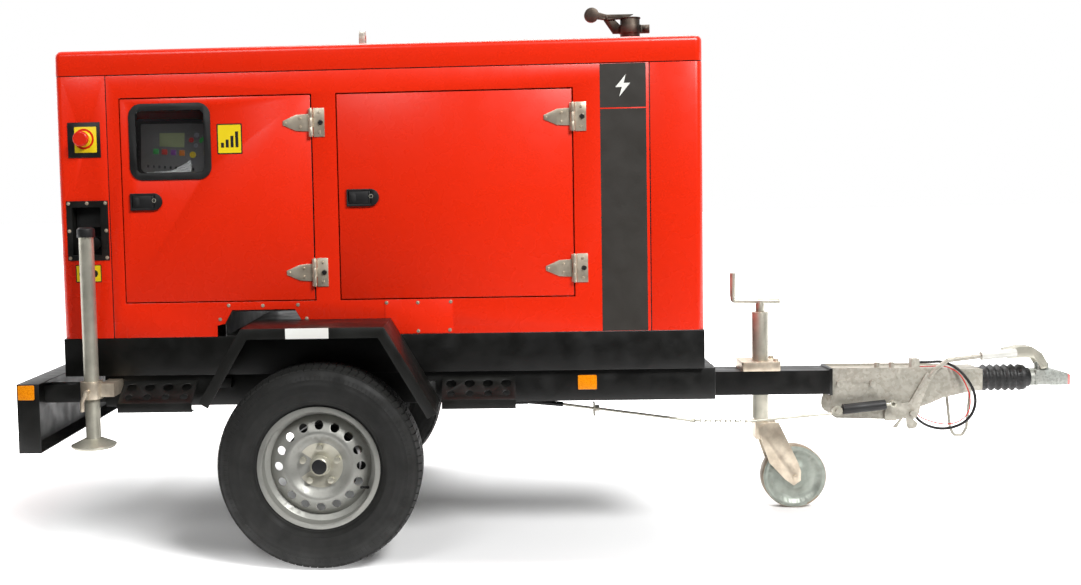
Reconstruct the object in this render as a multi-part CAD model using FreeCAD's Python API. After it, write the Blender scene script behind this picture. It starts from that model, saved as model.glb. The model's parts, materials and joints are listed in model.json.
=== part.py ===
import FreeCAD, Part
import math
import os
from FreeCAD import Vector

# Towable diesel generator: a soundproof canopy on a single-axle braked trailer.
# Millimetres. +X is the towing direction, +Y the left side, +Z up.
# Sizes are written in a station frame: x runs forward from the canopy's rear face,
# y = 0 is the centre plane and z = 0 is the ground. save() moves every piece so
# that x = 0 is half way between the rear lamps and the tip of the coupling.

# ---------------------------------------------------------------- driving sizes
# canopy
canopy_length = 2120.0
canopy_width = 975.0
canopy_bottom = 717.0
roof_seam = 1585.0
roof_top = 1670.0
sheet = 2.0
corner_radius = 25.0
seam_gap = 3.0
shroud_depth = 169.5
side = canopy_width / 2

# doors
door_gap = 4.0
door_depth = 25.0
door_bottom = 836.0
door_top = 1507.0
door_spans = {"rear": (217.0, 848.0), "front": (935.0, 1699.0)}
door_stop_lip = 15.0
window_x = (245.0, 517.0)
window_z = (1240.0, 1491.0)
window_rubber = 23.0
window_corner = 42.0
latch_length = 106.0
latch_height = 56.0
latch_inset = 26.0
latch_z = 1169.0
latch_proud = 8.0

# door hinges
hinge_heights = (926.0, 1417.0)
hinge_half_height = 47.0
hinge_plate = 3.0
hinge_leaf = 44.0
hinge_strap = 93.0
knuckle_radius = 7.0
hinge_pin_radius = 4.0
running_gap = 0.05
body_gap = 0.5

# base and chassis
base_bottom = 590.0
base_wall = 4.0
rail_height = 105.0
rail_width = 60.0
rail_outer = canopy_width / 2 - 17.5
rail_wall = 4.0
rail_rear = 128.0
rail_front = canopy_length + 37.0
cross_member = 60.0
drawbar_height = 86.0
drawbar_half_width = 60.0
drawbar_rear = 1500.0
drawbar_front = canopy_length + 517.0
hitch_datum = 2637.0
flange_thickness = 10.0
fork_pockets = ((545.0, 800.0), (1078.0, 1301.0))
pocket_height = 86.0
pocket_wall = 3.0
deck_beam = 47.0

# wheels and axle
wheel_x = 878.0
wheel_y = 647.0
tyre_radius = 325.0
tyre_width = 185.0
bead_radius = 182.0
flange_radius = 195.0
stub_radius = 25.0
hub_bolts = 5
vent_holes = 16
vent_hole_radius = 14.0
vent_circle = 131.0
axle_x = 1018.0
axle_z = 400.0
axle_size = 70.0

# mudguards, footsteps and rear light board
guard_outer = 742.0
guard_inner = 490.0
guard_sheet = 3.0
guard_lip = 33.0
guard_top = 2 * tyre_radius + 121.0
step_outer = 560.0
board_half_width = 700.0
board_rear = -82.0
board_depth = 72.0
board_bottom = 378.0
board_top = 600.0
lamp_proud = 8.0

# prop legs
leg_x = 113.0
leg_y = 560.0
leg_radius = 24.0
leg_top = 1092.0
leg_foot = 367.0
leg_clamp_bottom = 529.0
leg_clamp_top = 585.0
clamp_gap = 0.1

# jockey wheel
jockey_x = drawbar_front - 235.0
jockey_outer_radius = 28.5
jockey_inner_radius = 24.0
jockey_top = 719.0
jockey_bottom = 330.0
jockey_wheel_x = jockey_x + 117.0
jockey_wheel_radius = 115.0
jockey_wheel_width = 54.0
fork_plate = 4.0
fork_half_gap = 34.0
fork_top = 318.0
clamp_height = 33.0

# overrun hitch
housing_half_width = 57.0
housing_plate = 5.0
housing_front = 3177.0
shaft_z = 467.0
shaft_radius = 25.0
bellows_front = 3358.0
ball_radius = 25.0
ball_gap = 0.2
ball_mouth_flare = 1.2
ball_x = 3462.0
hitch_tip = 3500.0
lever_pivot = (2925.0, 354.0)
lever_y = -67.0
lever_plate = 6.0
spring_y = -90.0
spring_rod_radius = 6.0
spring_rear_eye = (2651.0, 371.0)
spring_front_eye = (2852.0, 392.0)

# exhaust and lifting eye
pipe_x = 1920.5
pipe_y = -200.0
pipe_radius = 33.5
pipe_wall = 3.0
pipe_top = 1761.0
cap_pivot = (1840.0, 1767.0)
eye_x = 973.0
eye_thickness = 20.0
eye_top = 1772.0
eye_hole_radius = 22.0
frame_clearance = 47.5
battery_clearance = 37.5

# emergency stop
stop_x = 94.0
stop_z = 1380.0
stop_travel = 6.0

rear_end = board_rear - lamp_proud
middle_x = (rear_end + hitch_tip + drawbar_front - hitch_datum) / 2
X = Vector(1, 0, 0)
Y = Vector(0, 1, 0)
Z = Vector(0, 0, 1)


# ---------------------------------------------------------------- shape helpers
def block(x0, x1, y0, y1, z0, z1):
    return Part.makeBox(x1 - x0, y1 - y0, z1 - z0, Vector(x0, y0, z0))


def rod(start, direction, radius, length):
    return Part.makeCylinder(radius, length, Vector(*start), direction)


def ring(start, direction, outer, inner, length):
    return rod(start, direction, outer, length).cut(rod(start, direction, inner, length))


def face_of(points):
    return Part.Face(Part.makePolygon(points + points[:1]))


def slab_xz(outline, y0, y1):
    return face_of([Vector(x, y0, z) for x, z in outline]).extrude(Vector(0, y1 - y0, 0))


def slab_yz(outline, x0, x1):
    return face_of([Vector(x0, y, z) for y, z in outline]).extrude(Vector(x1 - x0, 0, 0))


def slab_xy(outline, z0, z1):
    return face_of([Vector(x, y, z0) for x, y in outline]).extrude(Vector(0, 0, z1 - z0))


def turned(profile, centre, direction):
    """A turned piece: profile points are (distance along direction, radius)."""
    across = Z if direction != Z else X
    points = [Vector(*centre) + direction * along + across * radius for along, radius in profile]
    return face_of(points).revolve(Vector(*centre), direction, 360)


def smooth_path(points, bend=None):
    """Straight runs joined by tangent arcs: of radius bend, or as large as the runs allow."""
    spots = [Vector(*point) for point in points]
    edges = []
    radii = []
    here = spots[0]
    for before, spot, after in zip(spots, spots[1:], spots[2:]):
        back = before - spot
        on = after - spot
        room = 0.45 * min(back.Length, on.Length)
        back.normalize()
        on.normalize()
        half_turn = (math.pi - back.getAngle(on)) / 2
        radius = room / math.tan(half_turn)
        if bend:
            radius = min(radius, bend)
        cut = radius * math.tan(half_turn)
        radii.append(radius)
        inward = (back + on).normalize()
        middle = spot + inward * (radius / math.cos(half_turn) - radius)
        edges.append(Part.LineSegment(here, spot + back * cut).toShape())
        edges.append(Part.Arc(spot + back * cut, middle, spot + on * cut).toShape())
        here = spot + on * cut
    edges.append(Part.LineSegment(here, spots[-1]).toShape())
    return Part.Wire(edges), radii


def swept(path, points, radius):
    first = Vector(*points[1]) - Vector(*points[0])
    section = Part.Wire(Part.makeCircle(radius, Vector(*points[0]), first))
    return path.makePipeShell([section], True, True)


def bent_rod(points, radius):
    if len(points) == 2:
        run = Vector(*points[1]) - Vector(*points[0])
        return Part.makeCylinder(radius, run.Length, Vector(*points[0]), run)
    path, radii = smooth_path(points, 2.2 * radius)
    return swept(path, points, radius)


def rounded(shape, radius, direction, test=lambda edge: True):
    """Fillets the straight edges that run along direction and pass the test."""
    edges = []
    for edge in shape.Edges:
        along = edge.Vertexes[-1].Point - edge.Vertexes[0].Point
        if along.Length > 0.1 and abs(abs(along.normalize().dot(direction)) - 1) < 1e-6:
            if test(edge):
                edges.append(edge)
    return shape.makeFillet(radius, edges)


def panel_hole(x_span, z_span, radius, y0, y1):
    hole = block(x_span[0], x_span[1], y0, y1, z_span[0], z_span[1])
    return rounded(hole, radius, Y)


def mirrored(shape):
    return shape.mirror(Vector(0, 0, 0), Y)


def group(*shapes):
    return Part.makeCompound(list(shapes))


def save(name, shape):
    placed = shape.copy()
    placed.translate(Vector(-middle_x, 0, 0))
    placed.exportStep("parts/" + name + ".step")


def save_hitch(name, shape):
    """A hitch piece, drawn at the datum station, set on the front of the drawbar."""
    placed = shape.copy()
    placed.translate(Vector(drawbar_front - hitch_datum, 0, 0))
    save(name, placed)


def save_pair(name, right_shape):
    save(name + "_right", right_shape)
    save(name + "_left", mirrored(right_shape))


# ---------------------------------------------------------------- chassis and base
def chassis_frame():
    rail = block(rail_rear, rail_front, -rail_outer, rail_width - rail_outer,
                 base_bottom - rail_height, base_bottom)
    bore = block(rail_rear, rail_front, rail_wall - rail_outer,
                 rail_width - rail_outer - rail_wall,
                 base_bottom - rail_height + rail_wall, base_bottom - rail_wall)
    rail = rail.cut(bore)
    inner = rail_outer - rail_width
    top = base_bottom
    bottom = chassis_drawbar_top()
    members = []
    for x in (rail_rear, axle_x - cross_member / 2, drawbar_rear, rail_front - cross_member):
        members.append(block(x, x + cross_member, -inner, inner, bottom, top))
    return group(rail, mirrored(rail), *members)


def chassis_drawbar_top():
    return 424.0 + drawbar_height


def drawbar():
    top = chassis_drawbar_top()
    bottom = top - drawbar_height
    wall = 5.0
    tube = block(drawbar_rear, drawbar_front, -drawbar_half_width, drawbar_half_width, bottom, top)
    inside = block(drawbar_rear, drawbar_front, wall - drawbar_half_width,
                   drawbar_half_width - wall, bottom + wall, top - wall)
    flange = block(drawbar_front - 1, drawbar_front + flange_thickness,
                   -drawbar_half_width - 1, drawbar_half_width + 1, bottom - 5, top + 6)
    hole = rod((jockey_x, 0, bottom - 10), Z, jockey_outer_radius + 2, drawbar_height + 20)
    return tube.cut(inside).fuse(flange).cut(hole)


def base_frame():
    outer = block(0, canopy_length, -side, side, base_bottom, canopy_bottom)
    inner = block(base_wall, canopy_length - base_wall, base_wall - side, side - base_wall,
                  base_bottom + base_wall, canopy_bottom - base_wall)
    shapes = []
    for x0, x1 in fork_pockets:
        tube = block(x0, x1, base_wall - side, side - base_wall,
                     canopy_bottom, canopy_bottom + pocket_height)
        tunnel = block(x0 + pocket_wall, x1 - pocket_wall, -side, side,
                       canopy_bottom + pocket_wall, canopy_bottom + pocket_height - pocket_wall)
        shapes.append(tube.cut(tunnel))
    beam_z = canopy_bottom + pocket_height
    for y in (-290, 230):
        shapes.append(block(420, 1720, y, y + cross_member, beam_z, beam_z + deck_beam))
        shapes.append(block(1640, 1720, y, y + cross_member, canopy_bottom, beam_z))
    return outer.cut(inner).fuse(shapes)


def fuel_tank():
    tank = block(120, 1420, 87.5 - side, side - 87.5, base_bottom + base_wall, canopy_bottom - base_wall - 8)
    neck = rod((200, -330, canopy_bottom - base_wall - 9), Z, 25, 9)
    return rounded(tank, 20, Z).fuse(neck)


# ---------------------------------------------------------------- canopy shell
def shroud_shell():
    """The rear end of the canopy: an end wall with two short side returns."""
    outer = block(0, shroud_depth, -side, side, canopy_bottom, roof_seam)
    outer = rounded(outer, corner_radius, Z, lambda edge: edge.BoundBox.XMax < 1)
    inner = block(sheet, shroud_depth + 1, sheet - side, side - sheet, canopy_bottom, roof_seam)
    inner = rounded(inner, corner_radius - sheet, Z, lambda edge: edge.BoundBox.XMax < 5)
    return outer.cut(inner)


def louvres(x0, x1, z0, count, pitch, half_length, height):
    slots = []
    for row in range(count):
        z = z0 + row * pitch
        slots.append(block(x0, x1, -half_length, half_length, z, z + height))
    return slots


def rear_shroud():
    shell = shroud_shell().cut(louvres(-1, sheet + 1, 980, 8, 45, 280, 14))
    outlet = outlet_box(0.0)
    stem_hole = rod((stop_x, -side - 1, stop_z), Y, 12, sheet + 2)
    shell = shell.cut([outlet, stem_hole])
    plate = block(40, 149, -side - 3, -side, 1319, 1435)
    boss = rod((stop_x, -side - 17, stop_z), Y, 17, 14)
    bore = rod((stop_x, -side - 20, stop_z), Y, 11 + running_gap, 30)
    return group(shell, plate.fuse(boss).cut(bore))


def front_shroud():
    shell = shroud_shell().mirror(Vector(canopy_length / 2, 0, 0), X)
    slots = louvres(canopy_length - sheet - 1, canopy_length + 1, 880, 11, 42, 300, 20)
    return shell.cut(slots)


def roof_cap():
    low = roof_seam + seam_gap
    outer = block(0, canopy_length, -side, side, low, roof_top)
    outer = rounded(outer, corner_radius, Z)
    inner = block(sheet, canopy_length - sheet, sheet - side, side - sheet, low - 1,
                  roof_top - sheet)
    inner = rounded(inner, corner_radius - sheet, Z)
    outer = outer.makeFillet(20, [e for e in outer.Edges if e.BoundBox.ZMin > roof_top - 1])
    inner = inner.makeFillet(18, [e for e in inner.Edges if e.BoundBox.ZMin > roof_top - 3])
    lip_out = rounded(block(sheet, canopy_length - sheet, sheet - side, side - sheet,
                            roof_seam, roof_seam + 15), corner_radius - sheet, Z)
    lip_in = block(22, canopy_length - 22, 22 - side, side - 22, roof_seam - 1, roof_seam + 16)
    pipe_hole = rod((pipe_x, pipe_y, roof_top - 30), Z, pipe_radius + 2.5, 60)
    slot = block(eye_x - eye_thickness / 2 - 2, eye_x + eye_thickness / 2 + 2, -43, 43,
                 roof_top - 30, roof_top + 30)
    shell = outer.cut(inner).fuse(lip_out.cut(lip_in))
    return shell.cut([pipe_hole, slot])


def door_frame(x0, x1):
    """The return and the stop lip round one door opening, on the right side."""
    gap = door_gap
    face = sheet - side
    stop = -side + door_depth + body_gap
    tunnel = block(x0 - gap - sheet, x1 + gap + sheet, face, stop + sheet,
                   door_bottom - gap - sheet, door_top + gap + sheet)
    way = block(x0 - gap, x1 + gap, face - 1, stop, door_bottom - gap, door_top + gap)
    lip = door_stop_lip
    clear = block(x0 + lip, x1 - lip, face - 1, stop + sheet + 1, door_bottom + lip,
                  door_top - lip)
    return tunnel.cut([way, clear])


def side_frame():
    rear = shroud_depth + seam_gap
    front = canopy_length - rear
    skin = block(rear, front, -side, sheet - side, canopy_bottom, roof_seam)
    x0, x1 = fork_pockets[0]
    pocket = slab_xz([(x0 - 26, canopy_bottom - 1), (x0 - 26, 754), (x0, 760), (x0 + 25, 805),
                      (x1 - 21, 805), (x1, 770), (x1 + 28, 760), (x1 + 28, canopy_bottom - 1)],
                     -side - 1, sheet - side + 1)
    holes = [pocket]
    frames = []
    for x0, x1 in door_spans.values():
        holes.append(block(x0 - door_gap, x1 + door_gap, -side - 1, sheet - side + 1,
                           door_bottom - door_gap, door_top + door_gap))
        frames.append(door_frame(x0, x1))
    flange = block(rear, front, sheet - side, 30 - side, roof_seam - sheet, roof_seam)
    strips = []
    for x in (rear - 14, front - 10):
        strips.append(block(x, x + 24, sheet - side, 2 * sheet - side, canopy_bottom,
                            roof_seam - sheet))
    return skin.cut(holes).fuse(frames + [flange] + strips)


# ---------------------------------------------------------------- doors
def latch_x(span):
    return span[0] + latch_inset


def latch_tray(span):
    x0 = latch_x(span)
    half = latch_height / 2
    face = -side - latch_proud
    straight = block(x0, x0 + latch_length - half, face, -side, latch_z - half, latch_z + half)
    end = rod((x0 + latch_length - half, face, latch_z), Y, half, latch_proud)
    pocket = block(x0 + 5, x0 + 81, face - 1, -side - 1, latch_z - 21.5, latch_z + 21.5)
    return straight.fuse(end).cut(pocket)


def door(name):
    x0, x1 = door_spans[name]
    pan = block(x0, x1, -side, door_depth - side, door_bottom, door_top)
    hollow = block(x0 + sheet, x1 - sheet, sheet - side, door_depth - side + 1,
                   door_bottom + sheet, door_top - sheet)
    rim = block(x0 + sheet, x1 - sheet, door_depth - side - sheet, door_depth - side,
                door_bottom + sheet, door_top - sheet)
    rim_hole = block(x0 + 14, x1 - 14, door_depth - side - sheet - 1, door_depth - side + 1,
                     door_bottom + 14, door_top - 14)
    return pan.cut(hollow).fuse(rim.cut(rim_hole)), latch_tray((x0, x1))


def window_opening(margin, y0, y1):
    x_span = (window_x[0] + margin, window_x[1] - margin)
    z_span = (window_z[0] + margin, window_z[1] - margin)
    return panel_hole(x_span, z_span, window_corner - margin, y0, y1)


def door_window():
    """The rubber profile round the window and the pane that it holds."""
    half = window_rubber / 2
    flange = window_opening(0, -side - 4, -side)
    neck = window_opening(half, -side, 6 - side)
    through = window_opening(window_rubber, -side - 5, 7 - side)
    pane = window_opening(window_rubber + 0.1, -side - 1, 3 - side)
    return group(flange.fuse(neck).cut(through), pane)


def strap_outline(x, z):
    tip = x - hinge_strap
    root = x - knuckle_radius - 1
    return [(tip, z - 7), (tip, z + 7), (x - 50, z + 26), (x - 24, z + 28),
            (root, z + 28), (root, z - 28), (x - 24, z - 28), (x - 50, z - 26)]


def knuckle(x, z0, z1, towards):
    """One barrel of a hinge with the tab that joins it to its plate."""
    y = hinge_axis_y()
    barrel = rod((x, y, z0), Z, knuckle_radius, z1 - z0)
    end = x + towards * (knuckle_radius + 2)
    tab = block(min(x, end), max(x, end), -side - hinge_plate, -side, z0, z1)
    if towards < 0:
        tab = block(end, x - 1, -side - hinge_plate, -side, z0, z1)
    return barrel.fuse(tab)


def hinge_axis_y():
    return -side - hinge_plate / 2 - knuckle_radius


def hinge_x(name):
    return door_spans[name][1] + door_gap / 2


def hinge_straps(name):
    x = hinge_x(name)
    straps = []
    for z in hinge_heights:
        reach = hinge_half_height - 2
        plate = slab_xz(strap_outline(x, z), -side - hinge_plate, -side)
        low = knuckle(x, z - reach, z - reach / 3 - body_gap, -1)
        high = knuckle(x, z + reach / 3 + body_gap, z + reach, -1)
        bore = rod((x, hinge_axis_y(), z - 60), Z, hinge_pin_radius + running_gap, 120)
        straps.append(plate.fuse([low, high]).cut(bore))
    return group(*straps)


def hinge_leaves():
    """The fixed hinge halves with their pins, on both sides."""
    leaves = []
    for name in door_spans:
        x = hinge_x(name)
        for z in hinge_heights:
            reach = hinge_half_height - 2
            x0 = x + knuckle_radius + 1
            plate = block(x0, x + hinge_leaf, -side - hinge_plate, -side,
                          z - hinge_half_height, z + hinge_half_height)
            middle = knuckle(x, z - reach / 3, z + reach / 3, 1)
            pin = rod((x, hinge_axis_y(), z - reach - 2), Z, hinge_pin_radius, 2 * reach + 4)
            leaf = plate.fuse([middle, pin])
            leaves += [leaf, mirrored(leaf)]
    return group(*leaves)


def latch_handle(name):
    x0 = latch_x(door_spans[name])
    y = -side - latch_proud + 3.2
    paddle = block(x0 + 9, x0 + 72, y - 2.5, y + 2, latch_z - 20.5, latch_z + 20.5)
    barrel = rod((x0 + 75, y, latch_z - 20.5), Z, 3.5, 41)
    neck = block(x0 + 70, x0 + 75, y - 2, y + 2, latch_z - 20.5, latch_z + 20.5)
    return paddle.fuse([barrel, neck])


# ---------------------------------------------------------------- rear fittings
def outlet_box(inset):
    return block(42 + inset, 142 - inset, -side - 10, 90 - side, 994 + inset, 1157 - inset)


def cable_outlet():
    frame = block(26, 166, -side - 3, -side, 978, 1176)
    box = block(42, 142, -side, 90 - side, 994, 1157)
    inside = block(44, 140, -side - 5, 88 - side, 996, 1155)
    gland = rod((92, 70 - side, 1030), Y, 22, 19)
    return frame.fuse(box).cut(inside).fuse(gland)


def stop_button():
    head = rod((stop_x, -side - 44, stop_z), Y, 25, 18)
    head = head.makeFillet(6, [e for e in head.Edges if e.BoundBox.YMax < -side - 43])
    stem = rod((stop_x, -side - 27, stop_z), Y, 11, 40)
    return head.fuse(stem)


def control_panel():
    case = block(247, 490, -380, -280, 1240, 1430)
    case = rounded(case, 8, Y)
    uprights = [block(x, x + 30, -340, -310, canopy_bottom, 1245) for x in (262, 440)]
    return case.fuse(uprights)


# ---------------------------------------------------------------- running gear inside
shaft_height = 1040.0
fan_z = 1180.0


def alternator():
    beam_top = canopy_bottom + pocket_height + deck_beam
    body = rod((600, 0, shaft_height), X, 200, 360)
    cover = rod((560, 0, shaft_height), X, 170, 40)
    bell = rod((960, 0, shaft_height), X, 190, 60)
    box = block(640, 900, -150, 150, 1200, 1300)
    feet = []
    for x in (620, 880):
        for y in (-285, 120):
            feet.append(block(x, x + 70, y, y + 165, beam_top, beam_top + 42))
    return body.fuse([cover, bell, box] + feet)


def engine():
    beam_top = canopy_bottom + pocket_height + deck_beam
    housing = rod((1020, 0, shaft_height), X, 185, 45)
    crankcase = block(1060, 1520, -150, 150, 900, 1250)
    sump = block(1080, 1480, -120, 120, 815, 900)
    head = block(1080, 1500, -120, 120, 1250, 1340)
    rocker = rounded(block(1100, 1480, -80, 80, 1340, 1390), 15, X)
    manifold = block(1120, 1440, -205, -120, 1262, 1312)
    cleaner = rod((1150, 235, 1330), X, 75, 250)
    duct = block(1250, 1310, 110, 175, 1290, 1330)
    boss = ring((1520, 0, fan_z), X, 35, 12 + running_gap, 40)
    bore = rod((1500, 0, fan_z), X, 12 + running_gap, 80)
    pulley = rod((1519, 0, shaft_height), X, 70, 25)
    feet = []
    for x in (1120, 1380):
        for y in (-285, 140):
            feet.append(block(x, x + 70, y, y + 145, beam_top, beam_top + 60))
    body = crankcase.fuse([housing, sump, head, rocker, manifold, cleaner, duct, pulley] + feet)
    return body.cut(bore).fuse(boss)


def cooling_fan():
    hub = rod((1565, 0, fan_z), X, 45, 40)
    shaft = rod((1502, 0, fan_z), X, 12, 64)
    blades = []
    for turn in range(7):
        blade = block(-17, 17, 30, 205, -3, 3)
        blade.rotate(Vector(0, 0, 0), Y, 0)
        blade.rotate(Vector(0, 0, 0), Vector(0, 1, 0), 35)
        blade.rotate(Vector(0, 0, 0), X, turn * 360 / 7)
        blade.translate(Vector(1585, 0, fan_z))
        blades.append(blade)
    return hub.fuse([shaft] + blades)


def radiator():
    core = block(1660, 1740, -300, 300, 860, 1400)
    shroud = block(1620, 1661, -290, 290, 890, 1390)
    throat = rod((1610, 0, fan_z), X, 222, 50)
    legs = [block(1725, 1765, y, y + 30, canopy_bottom, 1300) for y in (-330, 300)]
    return core.fuse(shroud.cut(throat)).fuse(legs)


def battery():
    outer = side - battery_clearance
    case = block(1330, 1570, outer - 150, outer, canopy_bottom, 900)
    posts = [rod((x, outer - 120, 899), Z, 9, 18) for x in (1370, 1530)]
    return rounded(case, 6, Z).fuse(posts)


def exhaust_system():
    silencer = rod((pipe_x, -285, 1440), Y, 85, 570)
    tail = ring((pipe_x, pipe_y, 1500), Z, pipe_radius, pipe_radius - pipe_wall, pipe_top - 1500)
    inlet = bent_rod([(1300, -175, 1312), (1300, -175, 1445), (pipe_x - 70, -175, 1445)], 26)
    hangers = [block(pipe_x + 70, canopy_length - sheet, y, y + 6, 1400, 1480)
               for y in (-246, 240)]
    collar = ring((pipe_x, pipe_y, 1712), Z, pipe_radius + 4, pipe_radius - 1, 28)
    ears = block(pipe_x + pipe_radius, pipe_x + 66, pipe_y - 9, pipe_y - 3, 1712, 1740)
    ears2 = block(pipe_x + pipe_radius, pipe_x + 66, pipe_y + 3, pipe_y + 9, 1712, 1740)
    bolt = rod((pipe_x + 50, pipe_y - 16, 1726), Y, 5, 32)
    px, pz = cap_pivot
    arm = slab_xz([(pipe_x - pipe_radius + 1, 1712), (pipe_x - pipe_radius + 1, 1740),
                   (px + 14, pz + 8), (px - 9, pz + 8), (px - 9, pz - 9), (px + 22, 1712)],
                  pipe_y - 4, pipe_y + 4)
    pin = rod((px, pipe_y - 12, pz), Y, 4, 24)
    whole = silencer.fuse([tail, inlet, collar, ears, ears2, bolt, arm, pin] + hangers)
    return whole


def rain_cap():
    px, pz = cap_pivot
    lid = rod((pipe_x, pipe_y, pipe_top + body_gap), Z, pipe_radius + 2.5, 4)
    cheeks = []
    for y in (pipe_y - 9, pipe_y + 5):
        cheeks.append(slab_xz([(pipe_x - 20, pipe_top + 1), (pipe_x + 12, pipe_top + 16),
                               (px, pz + 11), (px - 30, pz + 20), (px - 30, pz - 3),
                               (px, pz - 8), (pipe_x - 36, pipe_top + 1)], y, y + 4))
    weight = rod((px - 51, pipe_y - 10, pz + 11), Y, 25, 20)
    bore = rod((px, pipe_y - 20, pz), Y, 4 + running_gap, 40)
    return lid.fuse(cheeks + [weight]).cut(bore)


def lifting_frame():
    wide = 60.0
    x0 = eye_x - wide / 2
    reach = side - frame_clearance
    beam = block(x0, x0 + wide, -reach, reach, 1540, 1583)
    columns = [block(x0, x0 + wide, y, y + wide, canopy_bottom, 1541)
               for y in (-reach, reach - wide)]
    half = eye_thickness / 2
    plate = block(eye_x - half, eye_x + half, -40, 40, 1582, eye_top)
    plate = rounded(plate, 38, X, lambda edge: edge.BoundBox.ZMin > eye_top - 1)
    hole = rod((eye_x - half - 1, 0, eye_top - 40), X, eye_hole_radius, eye_thickness + 2)
    return beam.fuse(columns + [plate]).cut(hole)


# ---------------------------------------------------------------- axle and wheels
def axle_beam():
    half = axle_size / 2
    pieces = [block(axle_x - half, axle_x + half, -500, 500, axle_z - half, axle_z + half)]
    for sign in (-1, 1):
        near, far = sorted((sign * 499, sign * 530))
        arm = slab_xz([(axle_x - 5, axle_z + half), (axle_x + half, axle_z + 10),
                       (axle_x + 25, axle_z - half), (wheel_x + 20, tyre_radius - 38),
                       (wheel_x - 30, tyre_radius - 30), (wheel_x - 38, tyre_radius + 25),
                       (wheel_x - 5, tyre_radius + 40)], near, far)
        start = (wheel_x, sign * 529, tyre_radius)
        stub = rod(start, Y * sign, stub_radius, wheel_y + 15 - 529)
        plate = rod((wheel_x, sign * 578, tyre_radius), Y * sign, 118, 5)
        saddle_y = sorted((sign * (rail_outer - 10), sign * (rail_outer - rail_width + 10)))
        saddle = block(axle_x - 50, axle_x + 50, saddle_y[0], saddle_y[1], axle_z + half - 1,
                       base_bottom - rail_height)
        pieces += [arm, stub, plate, saddle]
    return pieces[0].fuse(pieces[1:])


def tyre():
    half = tyre_width / 2
    bead = bead_radius + 0.3
    outer = [(62, bead), (62, flange_radius + 3), (80, flange_radius + 15), (half, 255),
             (half - 4, 290), (half - 20, tyre_radius - 7), (half - 52, tyre_radius)]
    inner = [(half - 56, tyre_radius - 14), (half - 30, tyre_radius - 22), (half - 16, 285),
             (half - 12, 255), (66, 216), (48, 200), (48, bead)]
    wall = outer + [(-t, r) for t, r in reversed(outer)]
    lining = [(-t, r) for t, r in reversed(inner)] + inner
    return turned(wall + lining, (wheel_x, -wheel_y, tyre_radius), Vector(0, -1, 0))


def rim():
    """The steel rim, its disc, hub with brake drum, wheel bolts and dust cap."""
    centre = (wheel_x, -wheel_y, tyre_radius)
    out = Vector(0, -1, 0)
    r = bead_radius
    f = flange_radius
    barrel = turned([(-66, r - 3), (-66, f), (-62.3, f), (-62.3, r), (-36, r), (-26, r - 17),
                     (10, r - 17), (20, r), (62.3, r), (62.3, f), (66, f), (66, r - 3),
                     (19, r - 3), (11, r - 20), (-27, r - 20), (-35, r - 3)], centre, out)
    face = [(24, 34), (24, 72), (30, 84), (42, 100), (44, 108), (40, 118), (34, 130),
            (26, 145), (12, 158), (6, r - 19)]
    back = [(t - 5, radius) for t, radius in reversed(face)]
    disc = turned(face + back, centre, out)
    holes = []
    for turn in range(vent_holes):
        angle = 2 * math.pi * turn / vent_holes
        spot = (wheel_x + vent_circle * math.cos(angle), -wheel_y - 60,
                tyre_radius + vent_circle * math.sin(angle))
        holes.append(rod(spot, Y, vent_hole_radius, 70))
    disc = disc.cut(holes)
    bore = stub_radius + running_gap
    hub = turned([(-50, bore), (19, bore), (19, 85), (4, 85), (4, 122), (-50, 122)], centre, out)
    cap = turned([(22, 0), (50, 0), (50, 24), (44, 30), (24, 32), (22, 32)], centre, out)
    spider = turned([(19, bore), (24, bore), (24, 33.9), (19, 33.9)], centre, out)
    bolts = []
    for turn in range(hub_bolts):
        angle = 2 * math.pi * turn / hub_bolts + math.pi / 2
        spot = (wheel_x + 57 * math.cos(angle), -wheel_y - 24, tyre_radius + 57 * math.sin(angle))
        bolts.append(rod(spot, out, 10, 14))
    return group(barrel.fuse(disc), hub.fuse([spider, cap]), *bolts)


# ---------------------------------------------------------------- mudguards, steps, lights
def offset_chain(points, distance):
    """The polyline moved sideways to its right, with mitred corners."""
    moved = []
    for index, point in enumerate(points):
        before = points[max(index - 1, 0)]
        after = points[min(index + 1, len(points) - 1)]
        normals = []
        for a, b in ((before, point), (point, after)):
            length = math.hypot(b[0] - a[0], b[1] - a[1])
            if length > 0:
                normals.append(((b[1] - a[1]) / length, (a[0] - b[0]) / length))
        nx = sum(n[0] for n in normals)
        nz = sum(n[1] for n in normals)
        scale = distance * len(normals) / (nx * nx + nz * nz)
        moved.append((point[0] + nx * scale, point[1] + nz * scale))
    return moved


def mudguard():
    line = [(512, 540), (650, guard_top), (1097, guard_top), (1254, 500)]
    skin = line + list(reversed(offset_chain(line, guard_sheet)))
    lip = line + list(reversed(offset_chain(line, guard_lip)))
    cover = slab_xz(skin, -guard_outer, -guard_inner)
    edge = slab_xz(lip, -guard_outer, guard_sheet - guard_outer)
    stays = [block(516, 560, -guard_inner - 8, -rail_outer, 548, 580),
             block(1206, 1240, -guard_inner - 8, -rail_outer, 520, 560)]
    return cover.fuse([edge] + stays)


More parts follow.
